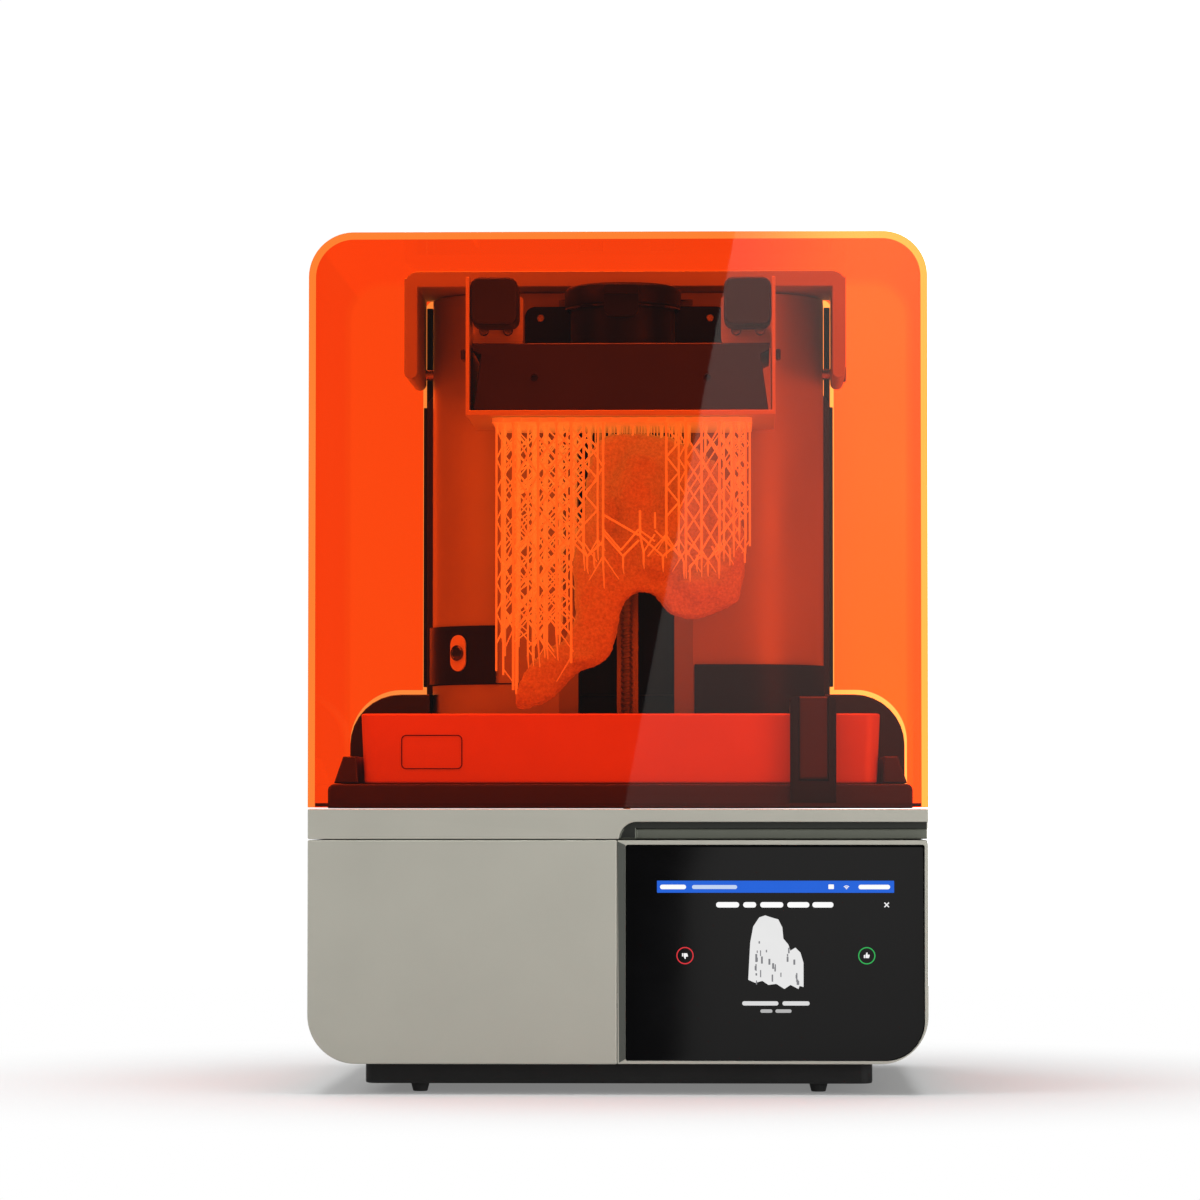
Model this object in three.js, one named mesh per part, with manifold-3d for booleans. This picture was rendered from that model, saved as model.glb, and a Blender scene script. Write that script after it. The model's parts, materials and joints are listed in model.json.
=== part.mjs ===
// A desktop masked-stereolithography resin printer: a box-shaped base with a
// tilted touch screen, a hinged translucent cover, a tower with the lifting
// axis, the build platform with a finished print on it, and the resin tank
// with its mixer. Millimetres, +Z up, +X right, the front looks to -Y. The
// origin is the middle of the footprint at floor level.
import * as THREE from "three";
import { mergeVertices } from "three/addons/utils/BufferGeometryUtils.js";
import Module from "manifold-3d";

// ---------------------------------------------------------------- dimensions
const WIDTH = 398; // overall, along X
const DEPTH = 367; // overall, along Y
const HEIGHT = 554; // overall, along Z
const HW = WIDTH / 2;
const YF = -DEPTH / 2; // front face
const YB = DEPTH / 2; // back face

const FOOT_H = 5.6;
const PLINTH_Z0 = 5.9;
const PLINTH_Z1 = 19.1;
const PLINTH_HW = 163.6;
const BASE_Z0 = 19.4; // underside of the lower housing
const BASE_Z1 = 162.7; // seam under the rim
const BASE_R = 31; // rounding of the lower long edges
const RIM_Z0 = 163.3;
const RIM_Z1 = 182.7;
const SKIN = 3; // wall of the lower housing

const SCOOP_Z = 174.3; // roof of the finger scoop
const SCOOP_STEP_Z = 169.8;
const SCOOP_X = -0.4; // left end of the scoop and of the screen
const BEZEL_DEPTH = 17.3;
const GLASS = { x0: 5.4, x1: 196.2, z0: 21.9, z1: 159.4 };
const GLASS_TILT = 0.0785; // radians, the top leans back

const COVER_Z0 = 183.6;
const COVER_R = 29; // rounding of the upper long edges
const COVER_T = 4.2; // wall
const COVER_YB = 101.5; // back of the cover
const HINGE_Y = 88; // hinge axis, along X
const HINGE_Z = 486;
const YOKE_HW = 150.5;
const LEG_X = 141.5; // inner face of the hinge legs
const YOKE_Y0 = 1.5;
const YOKE_Z0 = 538.6;

const TOWER_HW = 136.6;
const TOWER_Y0 = 33.5;
const TOWER_Y1 = 96.5;
const TOWER_R = 60;
const TOWER_Z0 = 183.2;
const TOWER_Z1 = 537.6;
const RECESS_HW = 33; // half width of the channel for the lifting axis
const RECESS_LIP = 46; // half width where the channel opens
const RECESS_Y = 88; // back of the channel
const REAR_HW = 141; // rear column
const REAR_Z1 = 474;
const SHOULDER_HW = 192;
const SHOULDER_Z = 262;
const SHOULDER_Y0 = 64.5;

const TRAY = { hw: 191, y0: -127.5, y1: 30, z0: 183.1, z1: 199 };
const TANK = { hw: 170, hwLow: 168, y0: -123.5, y1: 25, z0: 199.4, z1: 245 };
const BASIN = { hw: 156, y0: -113, y1: 18, r: 16 };

const SCREW_Y = 60; // axis of the lead screw
const SCREW_R = 4;
const PLATE = { hw: 102, y0: -111.5, y1: 17.5, z: 441.7, top: 533 };
const HUB_Y = -48.5;
const HUB_R = 35;
const LID_R = 39;
const MIXER = { x0: 111, x1: 141, y0: -138.5, y1: -129, z1: 256 };

// ------------------------------------------------------------------- helpers
const wasm = await Module();
wasm.setup();

function solid(geometry) {
  const flat = geometry.index ? geometry.toNonIndexed() : geometry;
  const bare = new THREE.BufferGeometry().setAttribute(
    "position",
    flat.getAttribute("position"),
  );
  const m = mergeVertices(bare, 1e-4);
  const a = m.index.array;
  const tri = [];
  for (let i = 0; i < a.length; i += 3)
    if (a[i] !== a[i + 1] && a[i + 1] !== a[i + 2] && a[i] !== a[i + 2])
      tri.push(a[i], a[i + 1], a[i + 2]);
  return new wasm.Manifold(
    new wasm.Mesh({
      numProp: 3,
      vertProperties: m.attributes.position.array,
      triVerts: new Uint32Array(tri),
    }),
  );
}

const ALONG = {
  z: new THREE.Matrix4(),
  // the outline's (u, v) becomes (x, z) and the depth runs to -y
  y: new THREE.Matrix4().makeRotationX(Math.PI / 2),
  // the outline's (u, v) becomes (y, z) and the depth runs to +x
  x: new THREE.Matrix4().makeBasis(
    new THREE.Vector3(0, 1, 0),
    new THREE.Vector3(0, 0, 1),
    new THREE.Vector3(1, 0, 0),
  ),
};

function arc(cx, cy, r, from, to, n) {
  const out = [];
  for (let i = 0; i <= n; i++) {
    const t = ((from + ((to - from) * i) / n) * Math.PI) / 180;
    out.push([cx + r * Math.cos(t), cy + r * Math.sin(t)]);
  }
  return out;
}

// A rectangle's outline with its corners rounded: bottom left, bottom right,
// top right, top left.
function rect(x0, y0, x1, y1, r = 0, n = 6) {
  const [a, b, c, d] = Array.isArray(r) ? r : [r, r, r, r];
  const part = (cx, cy, q, s) => (q > 0 ? arc(cx, cy, q, s, s + 90, n) : [[cx, cy]]);
  return [
    ...part(x0 + a, y0 + a, a, 180),
    ...part(x1 - b, y0 + b, b, 270),
    ...part(x1 - c, y1 - c, c, 0),
    ...part(x0 + d, y1 - d, d, 90),
  ];
}

// An outline pushed along an axis from lo to hi, with its end edges broken by
// the given bevel.
function prism(points, axis, lo, hi, bevel = 0) {
  const clean = points.filter((p, i) => {
    const q = points[(i + points.length - 1) % points.length];
    return Math.hypot(p[0] - q[0], p[1] - q[1]) > 1e-3;
  });
  const g = new THREE.ExtrudeGeometry(
    new THREE.Shape(clean.map((p) => new THREE.Vector2(...p))),
    {
      depth: hi - lo - 2 * bevel,
      bevelEnabled: bevel > 0,
      bevelSize: bevel,
      bevelThickness: bevel,
      bevelOffset: -bevel,
      bevelSegments: 1,
      steps: 1,
    },
  );
  g.translate(0, 0, bevel);
  if (axis === "y") g.translate(0, 0, -hi);
  else g.translate(0, 0, lo);
  g.applyMatrix4(ALONG[axis]);
  return solid(g);
}

function box(x0, x1, y0, y1, z0, z1) {
  const g = new THREE.BoxGeometry(x1 - x0, y1 - y0, z1 - z0);
  g.translate((x0 + x1) / 2, (y0 + y1) / 2, (z0 + z1) / 2);
  return solid(g);
}

function rod(r, axis, lo, hi, u, v, n = 24, r2 = r) {
  const g = new THREE.CylinderGeometry(r2, r, hi - lo, n);
  if (axis === "z") g.rotateX(Math.PI / 2).translate(u, v, (lo + hi) / 2);
  if (axis === "x") g.rotateZ(-Math.PI / 2).translate((lo + hi) / 2, u, v);
  if (axis === "y") g.translate(u, (lo + hi) / 2, v);
  return solid(g);
}

// A profile of (radius, z) turned about a vertical axis at x, y.
function turned(profile, x, y, n = 40) {
  const g = new THREE.LatheGeometry(
    profile.map((p) => new THREE.Vector2(...p)),
    n,
  );
  g.rotateX(Math.PI / 2).translate(x, y, 0);
  return solid(g);
}

const union = (first, ...rest) => rest.reduce((a, b) => a.add(b), first);
const cut = (first, ...rest) => rest.reduce((a, b) => a.subtract(b), first);

const group = new THREE.Group();
group.name = "resin_printer";

function piece(name, body, colour, roughness, metalness) {
  const m = body.getMesh();
  const v = new Float32Array(m.numVert * 3);
  for (let i = 0; i < m.numVert; i++)
    v.set(m.vertProperties.subarray(i * m.numProp, i * m.numProp + 3), i * 3);
  const g = new THREE.BufferGeometry()
    .setAttribute("position", new THREE.BufferAttribute(v, 3))
    .setIndex(new THREE.BufferAttribute(new Uint32Array(m.triVerts), 1));
  g.computeVertexNormals();
  const mesh = new THREE.Mesh(
    g,
    new THREE.MeshStandardMaterial({ color: colour, roughness, metalness }),
  );
  mesh.name = name;
  group.add(mesh);
  return body;
}

const CHAMPAGNE = [0xb9b7ac, 0.42, 0.55];
const BLACK = [0x1b1a19, 0.5, 0.0];
const DARK = [0x2a2826, 0.6, 0.0];
const STEEL = [0xb4b6b8, 0.3, 0.9];
const ALU = [0xc9cbcd, 0.35, 0.85];

// ---------------------------------------------------------------------- base
piece(
  "lower_housing",
  cut(
    prism(rect(-HW, BASE_Z0, HW, BASE_Z1, [BASE_R, BASE_R, 0, 0], 8), "y", YF, YB, 1),
    prism(
      rect(-HW + SKIN, BASE_Z0 + SKIN, HW - SKIN, BASE_Z1 + 5, [BASE_R - SKIN, BASE_R - SKIN, 0, 0], 8),
      "y",
      YF + SKIN,
      YB - SKIN,
    ),
    box(SCOOP_X, HW + 5, YF - 5, YF + BEZEL_DEPTH + 0.5, BASE_Z0 - 5, BASE_Z1 + 5),
    box(-150, 150, YB - 10, YB + 5, 40, 150),
  ),
  ...CHAMPAGNE,
);

const scoop = [
  [SCOOP_X, RIM_Z0 - 5],
  ...arc(12.4, RIM_Z0 - 0.4, 11.4, 180, 90, 6).map(([x, z]) => [x, z]),
  [HW + 5, SCOOP_Z],
  [HW + 5, RIM_Z0 - 5],
].reverse();
piece(
  "base_rim",
  cut(
    prism(rect(-HW, RIM_Z0, HW, RIM_Z1), "y", YF, YB, 0.8),
    box(-192, 192, -158, 178, RIM_Z0 - 5, 177),
    prism(scoop, "y", YF - 5, YF + 9),
    box(11.8, HW + 5, YF - 5, YF + 14, SCOOP_STEP_Z - 20, SCOOP_STEP_Z),
    box(-112, 112, -117, 20, 150, 190),
    rod(13, "z", 150, 190, 0, SCREW_Y, 20),
    box(-120, 120, 110, 170, 150, 190),
  ),
  ...CHAMPAGNE,
);

piece(
  "chassis_plinth",
  prism(rect(-PLINTH_HW, -161.5, PLINTH_HW, 165, 8, 3), "z", PLINTH_Z0, PLINTH_Z1, 0.8),
  ...BLACK,
);

for (const [name, x, y] of [
  ["foot_front_left", -129, -143],
  ["foot_front_right", 129, -143],
  ["foot_rear_left", -129, 143],
  ["foot_rear_right", 129, 143],
])
  piece(name, rod(4.6, "z", 0, FOOT_H, x, y, 20, 6.1), 0x141414, 0.85, 0);

// -------------------------------------------------------------------- screen
const bezelOut = rect(SCOOP_X + 0.3, BASE_Z0 + 0.2, HW - 0.2, BASE_Z1 - 0.1, [0, 30.8, 3, 0], 8);
const glassOut = (grow) =>
  rect(GLASS.x0 - grow, GLASS.z0 - grow, GLASS.x1 + grow, GLASS.z1 + grow, [1.5, 25, 1.5, 1.5], 8);
piece(
  "screen_bezel",
  cut(
    prism(bezelOut, "y", YF + 0.1, YF + BEZEL_DEPTH, 0.5),
    prism(glassOut(0.3), "y", YF - 5, YF + BEZEL_DEPTH + 5),
  ),
  ...CHAMPAGNE,
);
function tilted(outline, y0, y1) {
  const g = new THREE.ExtrudeGeometry(
    new THREE.Shape(outline.map((p) => new THREE.Vector2(...p))),
    { depth: y1 - y0, bevelEnabled: false, steps: 1 },
  );
  g.applyMatrix4(ALONG.y).translate(0, y1, 0);
  // a shear, so that the outline still fills its opening while the face leans
  const p = g.getAttribute("position");
  for (let i = 0; i < p.count; i++)
    p.setY(i, p.getY(i) + (p.getZ(i) - GLASS.z0) * Math.tan(GLASS_TILT));
  return solid(g);
}
piece("screen_glass", tilted(glassOut(0), YF + 1.6, YF + 3.6), 0x0b0b0d, 0.06, 0);
piece(
  "touch_display",
  tilted(rect(16, 30, 186, 150, 2, 2), YF + 3.9, YF + 6.2),
  0x2b59a0,
  0.4,
  0,
);

// ---------------------------------------------------------------- rear panel
piece(
  "rear_base_panel",
  cut(
    prism(rect(-149.7, 40.3, 149.7, 149.7, 3, 3), "y", YB - 2.9, YB - 0.3),
    prism(rect(-128.3, 59.7, -97.7, 84.3, 1, 2), "y", YB - 10, YB + 5),
    prism(rect(-90.3, 61.7, -71.7, 82.3, 1, 2), "y", YB - 10, YB + 5),
    prism(rect(-50.3, 63.7, -33.7, 78.3, 0), "y", YB - 10, YB + 5),
    prism(rect(-22.3, 65.7, -7.7, 74.3, 0), "y", YB - 10, YB + 5),
    rod(36, "y", YB - 10, YB + 5, 75, 95, 32),
  ),
  ...DARK,
);
piece(
  "power_inlet",
  cut(
    prism(rect(-128, 60, -98, 84, 1, 2), "y", YB - 20, YB - 0.2),
    prism(rect(-124.5, 63.5, -101.5, 80.5, [1, 1, 6, 6], 2), "y", YB - 14, YB + 5),
  ).add(
    union(
      box(-119.5, -117.5, YB - 15, YB - 4, 68, 72),
      box(-108.5, -106.5, YB - 15, YB - 4, 68, 72),
      box(-114, -112, YB - 15, YB - 4, 74, 78),
    ),
  ),
  0x161616,
  0.5,
  0,
);
piece(
  "switch_frame",
  cut(
    prism(rect(-90, 62, -72, 82, 1, 2), "y", YB - 14, YB - 0.2),
    box(-87.5, -74.5, YB - 20, YB + 5, 64, 80),
  ),
  0x161616,
  0.5,
  0,
);
// the rocker turns about a line along X inside its frame
piece(
  "power_switch",
  prism(
    [
      [YB - 8.2, 65.2],
      [YB - 1.4, 64.9],
      [YB - 3.2, 72],
      [YB - 1.4, 79.1],
      [YB - 8.2, 78.8],
    ].reverse(),
    "x",
    -87,
    -75,
  ),
  0x0c0c0c,
  0.35,
  0,
);
piece(
  "network_port",
  cut(box(-50, -34, YB - 20, YB - 0.2, 64, 78), box(-48, -36, YB - 16, YB + 5, 66, 75)),
  ...STEEL,
);
piece(
  "usb_port",
  cut(box(-22, -8, YB - 16, YB - 0.2, 66, 74), box(-21, -9, YB - 12, YB + 5, 67.5, 72.5)),
  ...STEEL,
);
piece(
  "fan_frame",
  cut(
    prism(rect(33, 53, 117, 137, 5, 3), "y", YB - 29, YB - 4),
    rod(38.5, "y", YB - 40, YB, 75, 95, 32),
  ).add(
    union(
      rod(15, "y", YB - 29, YB - 26, 75, 95, 20),
      box(73, 77, YB - 29, YB - 26, 53.5, 136.5),
      box(33.5, 116.5, YB - 29, YB - 26, 93, 97),
    ),
  ),
  0x1c1c1c,
  0.6,
  0,
);
{
  let rotor = rod(15, "y", YB - 25, YB - 8, 75, 95, 24);
  for (let i = 0; i < 7; i++) {
    const g = new THREE.BoxGeometry(24.5, 2, 15);
    g.rotateX(0.75).translate(25, 0, 0);
    g.rotateY((i * 2 * Math.PI) / 7).translate(75, YB - 16.5, 95);
    rotor = rotor.add(solid(g));
  }
  piece("fan_rotor", rotor, 0x232323, 0.5, 0);
}

// ------------------------------------------------------- electronics, optics
piece(
  "main_board",
  union(
    box(128, 186, -120, 40, 34, 36),
    box(135, 150, -110, -90, 35, 44),
    box(160, 182, -80, -55, 35, 41),
    box(135, 155, -30, 0, 35, 47),
    box(165, 182, 5, 30, 35, 50),
  ),
  0x1f5a35,
  0.55,
  0.1,
);
piece(
  "power_supply",
  cut(
    prism(rect(-184, -60, -124, 120, 3, 2), "z", 32, 74),
    ...[-40, -20, 0, 20, 40, 60, 80].map((y) => box(-176, -132, y, y + 6, 70, 80)),
  ),
  0xa9abad,
  0.4,
  0.8,
);
piece(
  "light_shroud",
  cut(
    box(-110, 110, -115, 18, 62, 160),
    box(-106, 106, -111, 14, 50, 170),
  ),
  ...DARK,
);
piece(
  "collimating_lens",
  box(-105, 105, -110, 13, 145, 149),
  0xd8e6ea,
  0.05,
  0,
);
piece(
  "led_backlight",
  union(
    box(-104, 104, -109, 12, 66, 69),
    ...[-72, -24, 24, 72].flatMap((x) =>
      [-84, -48, -12].map((y) => box(x - 6, x + 6, y - 6, y + 6, 68, 74)),
    ),
  ),
  0xe6e7e2,
  0.4,
  0.2,
);
piece(
  "heat_sink",
  cut(
    box(-95, 95, -100, 3, 30, 61.5),
    ...[-80, -62, -44, -26, -8, 10, 28, 46, 64].map((x) => box(x, x + 11, -105, 8, 20, 55)),
  ),
  ...ALU,
);

// ------------------------------------------------------------- tray and tank
piece(
  "tray_deck",
  cut(
    prism(rect(-TRAY.hw, TRAY.z0, TRAY.hw, TRAY.z1, [0, 0, 4, 4], 3), "y", TRAY.y0, TRAY.y1, 1),
    box(-112, 112, -118, 22, 193.6, 210),
    box(-106, 106, -112, 16, 170, 210),
  ),
  0x2a1d18,
  0.5,
  0,
);
piece("lcd_mask_panel", box(-111.6, 111.6, -117.6, 21.6, 193.9, 198.4), 0x14161c, 0.08, 0);

function tapered(outline, z0, z1, at) {
  const g = new THREE.ExtrudeGeometry(
    new THREE.Shape(outline.map((p) => new THREE.Vector2(...p))),
    { depth: z1 - z0, bevelEnabled: false, steps: 1 },
  );
  g.translate(0, 0, z0);
  const p = g.getAttribute("position");
  for (let i = 0; i < p.count; i++) {
    const k = at((p.getZ(i) - z0) / (z1 - z0));
    p.setX(i, p.getX(i) * k);
  }
  return solid(g);
}
piece(
  "resin_tank",
  cut(
    tapered(rect(-TANK.hw, TANK.y0, TANK.hw, TANK.y1, 10, 4), TANK.z0, TANK.z1, (t) =>
      (TANK.hwLow + (TANK.hw - TANK.hwLow) * t) / TANK.hw,
    ),
    prism(rect(-BASIN.hw, BASIN.y0, BASIN.hw, BASIN.y1, BASIN.r, 4), "z", 203.5, 260),
    prism(rect(-122, -104, 122, 10, 6, 2), "z", 190, 210),
    prism(rect(-BASIN.hw - 8, BASIN.y0 - 5, BASIN.hw + 8, BASIN.y1 + 3, BASIN.r + 4, 4), "z", 242, 260),
  ),
  0xb5482a,
  0.4,
  0,
);
piece(
  "tank_film",
  prism(rect(-126, -107, 126, 13, 6, 2), "z", 203.8, 204.6),
  0xf0ead8,
  0.15,
  0,
);
for (const [name, s] of [
  ["tank_guide_left", -1],
  ["tank_guide_right", 1],
]) {
  const o = [
    [171.6, 199.4],
    [187.6, 199.4],
    [181.5, 217],
    [172.4, 217],
  ].map(([x, z]) => [s * x, z]);
  piece(name, prism(s > 0 ? o : o.reverse(), "y", -121, 24, 0.8), 0x2a1d18, 0.5, 0);
}

// --------------------------------------------------------------------- mixer
piece(
  "mixer_bracket",
  cut(
    union(
      prism(rect(MIXER.x0, 183.4, MIXER.x1, MIXER.z1, [1, 1, 4, 4], 3), "y", MIXER.y0, MIXER.y1),
      box(MIXER.x0, MIXER.x1, MIXER.y1 - 2, -103.8, 246.4, 254.5),
      box(118, 134, -111.4, -103.8, 222, 250),
    ),
    box(116.7, 135.9, MIXER.y0 - 5, -132.4, 200.6, 265),
  ),
  ...BLACK,
);
piece(
  "mixer_lever",
  prism(
    [
      [-137, 204],
      [-136, 202],
      [-134, 202],
      [-133.1, 204],
      [-133.1, 253],
      [-135, 256],
      [-137, 255],
    ],
    "x",
    117.1,
    135.5,
  ),
  0x4a2216,
  0.45,
  0,
);
piece(
  "mixer_blade",
  union(
    prism(rect(-103.4, 207, 8, 240, [10, 10, 2, 2], 3), "x", 124.4, 127.6),
    box(119, 133, -103.4, -99, 224, 244),
  ),
  0xd9d6cf,
  0.5,
  0,
);

// --------------------------------------------------------------------- tower
const towerOutline = (grow) => {
  const h = TOWER_HW + grow;
  const r = TOWER_R + grow;
  const y = TOWER_Y0 - grow;
  return [
    ...arc(-h + r, y + r, r, 180, 270, 12),
    ...arc(h - r, y + r, r, 270, 360, 12),
    [h, TOWER_Y1],
    [-h, TOWER_Y1],
  ];
};
const column = (s) => {
  const h = TOWER_HW - 4;
  const r = TOWER_R - 4;
  const o = [
    ...arc(h - r, TOWER_Y0 + 4 + r, r, 270, 360, 12),
    [h, TOWER_Y1 - 2.8],
    [RECESS_HW + 4, TOWER_Y1 - 2.8],
    [RECESS_HW + 4, 50],
    [RECESS_LIP + 5, TOWER_Y0 + 4],
  ].map(([x, y]) => [s * x, y]);
  return prism(s > 0 ? o : o.reverse(), "z", 170, 533);
};
piece(
  "tower_housing",
  cut(
    prism(towerOutline(0), "z", TOWER_Z0, TOWER_Z1),
    column(1),
    column(-1),
    prism(
      [
        [-RECESS_LIP - 3, TOWER_Y0 - 5],
        [RECESS_LIP + 3, TOWER_Y0 - 5],
        [RECESS_LIP, TOWER_Y0],
        [RECESS_HW, 46],
        [RECESS_HW, RECESS_Y],
        [-RECESS_HW, RECESS_Y],
        [-RECESS_HW, 46],
        [-RECESS_LIP, TOWER_Y0],
      ],
      "z",
      187,
      533,
    ),
    rod(12, "z", 170, 200, 0, SCREW_Y, 20),
    // the top back edge stays inside the turning circle of the hinged cap
    prism(
      [
        [TOWER_Y1 - 9, TOWER_Z1 + 1],
        [TOWER_Y1 + 5, TOWER_Z1 - 9],
        [TOWER_Y1 + 5, TOWER_Z1 + 1],
      ],
      "x",
      -200,
      200,
    ),
    // bores for the hinge pins
    rod(4.3, "x", -160, -120, HINGE_Y, HINGE_Z, 16),
    rod(4.3, "x", 120, 160, HINGE_Y, HINGE_Z, 16),
  ),
  0xb9bbbd,
  0.5,
  0.3,
);
piece(
  "rear_housing",
  cut(
    union(
      prism(rect(-REAR_HW, 190, REAR_HW, REAR_Z1, [0, 0, 10, 10], 4), "y", TOWER_Y1 + 0.6, YB - 0.5, 0.8),
      prism(rect(-SHOULDER_HW, 183.2, SHOULDER_HW, SHOULDER_Z, [0, 0, 35, 35], 8), "y", SHOULDER_Y0, YB - 0.5, 0.8),
    ),
    box(-TOWER_HW - 0.4, TOWER_HW + 0.4, 0, TOWER_Y1 + 0.5, 170, 500),
    prism(rect(-REAR_HW + 4, 170, REAR_HW - 4, REAR_Z1 - 4, [0, 0, 6, 6], 3), "y", 101, YB - 4.5),
    prism(rect(-SHOULDER_HW + 4, 170, SHOULDER_HW - 4, SHOULDER_Z - 4, [0, 0, 31, 31], 5), "y", 101, YB - 4.5),
    ...[0, 1, 2, 3, 4, 5, 6].map((i) =>
      prism(rect(-70, 330 + i * 12, 70, 335 + i * 12, 2.4, 2), "y", YB - 12, YB + 5),
    ),
  ),
  ...BLACK,
);
{
  const cx = -TOWER_HW + TOWER_R;
  const cy = TOWER_Y0 + TOWER_R;
  const z0 = 269;
  const z1 = 308.8;
  piece(
    "camera_band",
    prism(
      [
        ...arc(cx, cy, TOWER_R + 2.2, 182, 258, 10),
        ...arc(cx, cy, TOWER_R + 0.4, 258, 182, 10),
      ],
      "z",
      z0,
      z1,
    ),
    0x0f0f0f,
    0.2,
    0,
  );
  const a = -Math.PI / 2 - 0.674;
  const g = new THREE.CylinderGeometry(7, 7.5, 3.2, 24);
  g.rotateZ(-Math.PI / 2); // the small end to +x
  g.translate(TOWER_R + 4.1, 0, 0).rotateZ(a).translate(cx, cy, 290);
  piece("camera_lens", solid(g), 0x050507, 0.08, 0);
}
piece(
  "heater_box",
  cut(
    prism(
      [
        [47, TOWER_Y0 - 6.5],
        ...arc(TOWER_HW - TOWER_R, TOWER_Y0 + TOWER_R, TOWER_R + 6.5, 270, 335, 7),
        [TOWER_HW - 14, TOWER_Y0 + TOWER_R - 4],
        [47, TOWER_Y0 + 12],
      ],
      "z",
      226,
      281.8,
    ),
    prism(towerOutline(0.4), "z", 200, 300),
  ),
  ...BLACK,
);

// -------------------------------------------------------------- lifting axis
piece(
  "linear_rail",
  prism(
    [
      [-7.5, 87.7],
      [-7.5, 83.5],
      [-5.8, 82],
      [-7.5, 80.5],
      [-7.5, 79],
      [7.5, 79],
      [7.5, 80.5],
      [5.8, 82],
      [7.5, 83.5],
      [7.5, 87.7],
    ],
    "z",
    200,
    518,
  ),
  ...STEEL,
);
piece(
  "lead_screw",
  turned(
    [
      [0, 190],
      [3.4, 190],
      [3.4, 212],
      ...Array.from({ length: 7 }, (_, i) => 214 + i * 42.5).flatMap((z) => [
        [SCREW_R, z],
        [SCREW_R, z + 38],
        [3.5, z + 39],
        [3.5, z + 41.5],
      ]),
      [3.4, 512],
      [3.4, 529],
      [0, 529],
    ],
    0,
    SCREW_Y,
    14,
  ),
  ...STEEL,
);
piece(
  "motor_coupling",
  cut(rod(9.5, "z", 187.6, 209, 0, SCREW_Y, 24), rod(3.8, "z", 180, 215, 0, SCREW_Y, 16), box(7, 12, SCREW_Y - 3, SCREW_Y + 3, 196, 200)),
  ...ALU,
);
piece(
  "z_motor",
  union(
    prism(rect(-21, SCREW_Y - 21, 21, SCREW_Y + 21, 4, 1), "z", 134, 176.5),
    rod(11, "z", 176, 178.5, 0, SCREW_Y, 20),
    rod(2.5, "z", 178, 189.5, 0, SCREW_Y, 12),
  ),
  0x2b2b2d,
  0.45,
  0.6,
);
piece(
  "upper_bearing",
  cut(box(-16, 16, 48, 87.6, 521, 532.6), rod(3.8, "z", 515, 540, 0, SCREW_Y, 16)),
  ...ALU,
);
piece(
  "z_carriage",
  cut(box(-26, 26, 46, 74, 468, 513), rod(8.4, "z", 460, 520, 0, SCREW_Y, 24)),
  0x2f3033,
  0.45,
  0.6,
);
piece(
  "rail_block",
  cut(box(-17, 17, 74.3, 86.6, 472, 509), box(-8, 8, 78.6, 90, 460, 520)),
  ...STEEL,
);
piece(
  "lead_nut",
  cut(
    union(rod(8, "z", 462, 492, 0, SCREW_Y, 24), rod(14, "z", 461, 467.6, 0, SCREW_Y, 24)),
    rod(SCREW_R + 0.4, "z", 450, 500, 0, SCREW_Y, 20),
  ),
  0xb58a3c,
  0.35,
  0.9,
);
piece(
  "platform_arm",
  cut(
    prism(rect(-28, 492, 28, 514, 4, 2), "y", -15, 45.7, 0.6),
    rod(HUB_R + 0.4, "z", 480, 520, 0, HUB_Y, 40),
  ),
  0x35353a,
  0.45,
  0.5,
);

// ------------------------------------------------------------ build platform
const lidTop = 532.5;
piece(
  "platform_hub",
  turned(
    [
      [0, 489.9],
      [HUB_R, 489.9],
      [HUB_R, 518],
      [LID_R - 1, 518],
      [LID_R, 520],
      [LID_R, lidTop - 4],
      [LID_R - 1.5, lidTop - 1.2],
      [LID_R - 5, lidTop],
      [8, lidTop],
      [6, lidTop - 2],
      [0, lidTop - 2],
    ],
    0,
    HUB_Y,
    32,
  ),
  ...BLACK,
);
piece(
  "hub_latch",
  union(
    prism(rect(-11.5, 509, 11.5, 529, [5, 5, 0, 0], 3), "y", HUB_Y - LID_R - 3.6, HUB_Y - LID_R - 0.8),
    prism(rect(-11.5, 524, 11.5, 530, [0, 0, 2, 2], 2), "y", HUB_Y - LID_R - 5, HUB_Y - LID_R - 1),
  ),
  0x151515,
  0.35,
  0,
);
piece(
  "platform_body",
  cut(
    prism(
      [
        [-98.1, 489.6],
        [-98.1, 485],
        [-92.2, 482],
        [-97.4, 445.4],
        [97.4, 445.4],
        [92.2, 482],
        [98.1, 485],
        [98.1, 489.6],
      ],
      "y",
      -106,
      12,
      0.6,
    ),
    rod(2.4, "y", -120, -100, -57, 466.7, 12),
    rod(2.4, "y", -120, -100, 57, 466.7, 12),
  ),
  0x221c1a,
  0.5,
  0.2,
);
piece(
  "platform_plate",
  cut(
    box(-PLATE.hw, PLATE.hw, PLATE.y0, PLATE.y1, PLATE.z, PLATE.top),
    box(-PLATE.hw + 2.4, PLATE.hw - 2.4, PLATE.y0 - 5, PLATE.y1 + 5, PLATE.z + 3.2, PLATE.top + 5),
    // a hand slot in each side
    prism(rect(-80, 500, -20, 520, 9, 4), "x", -150, 150),
  ),
  0xc2c4c6,
  0.35,
  0.85,
);
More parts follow.
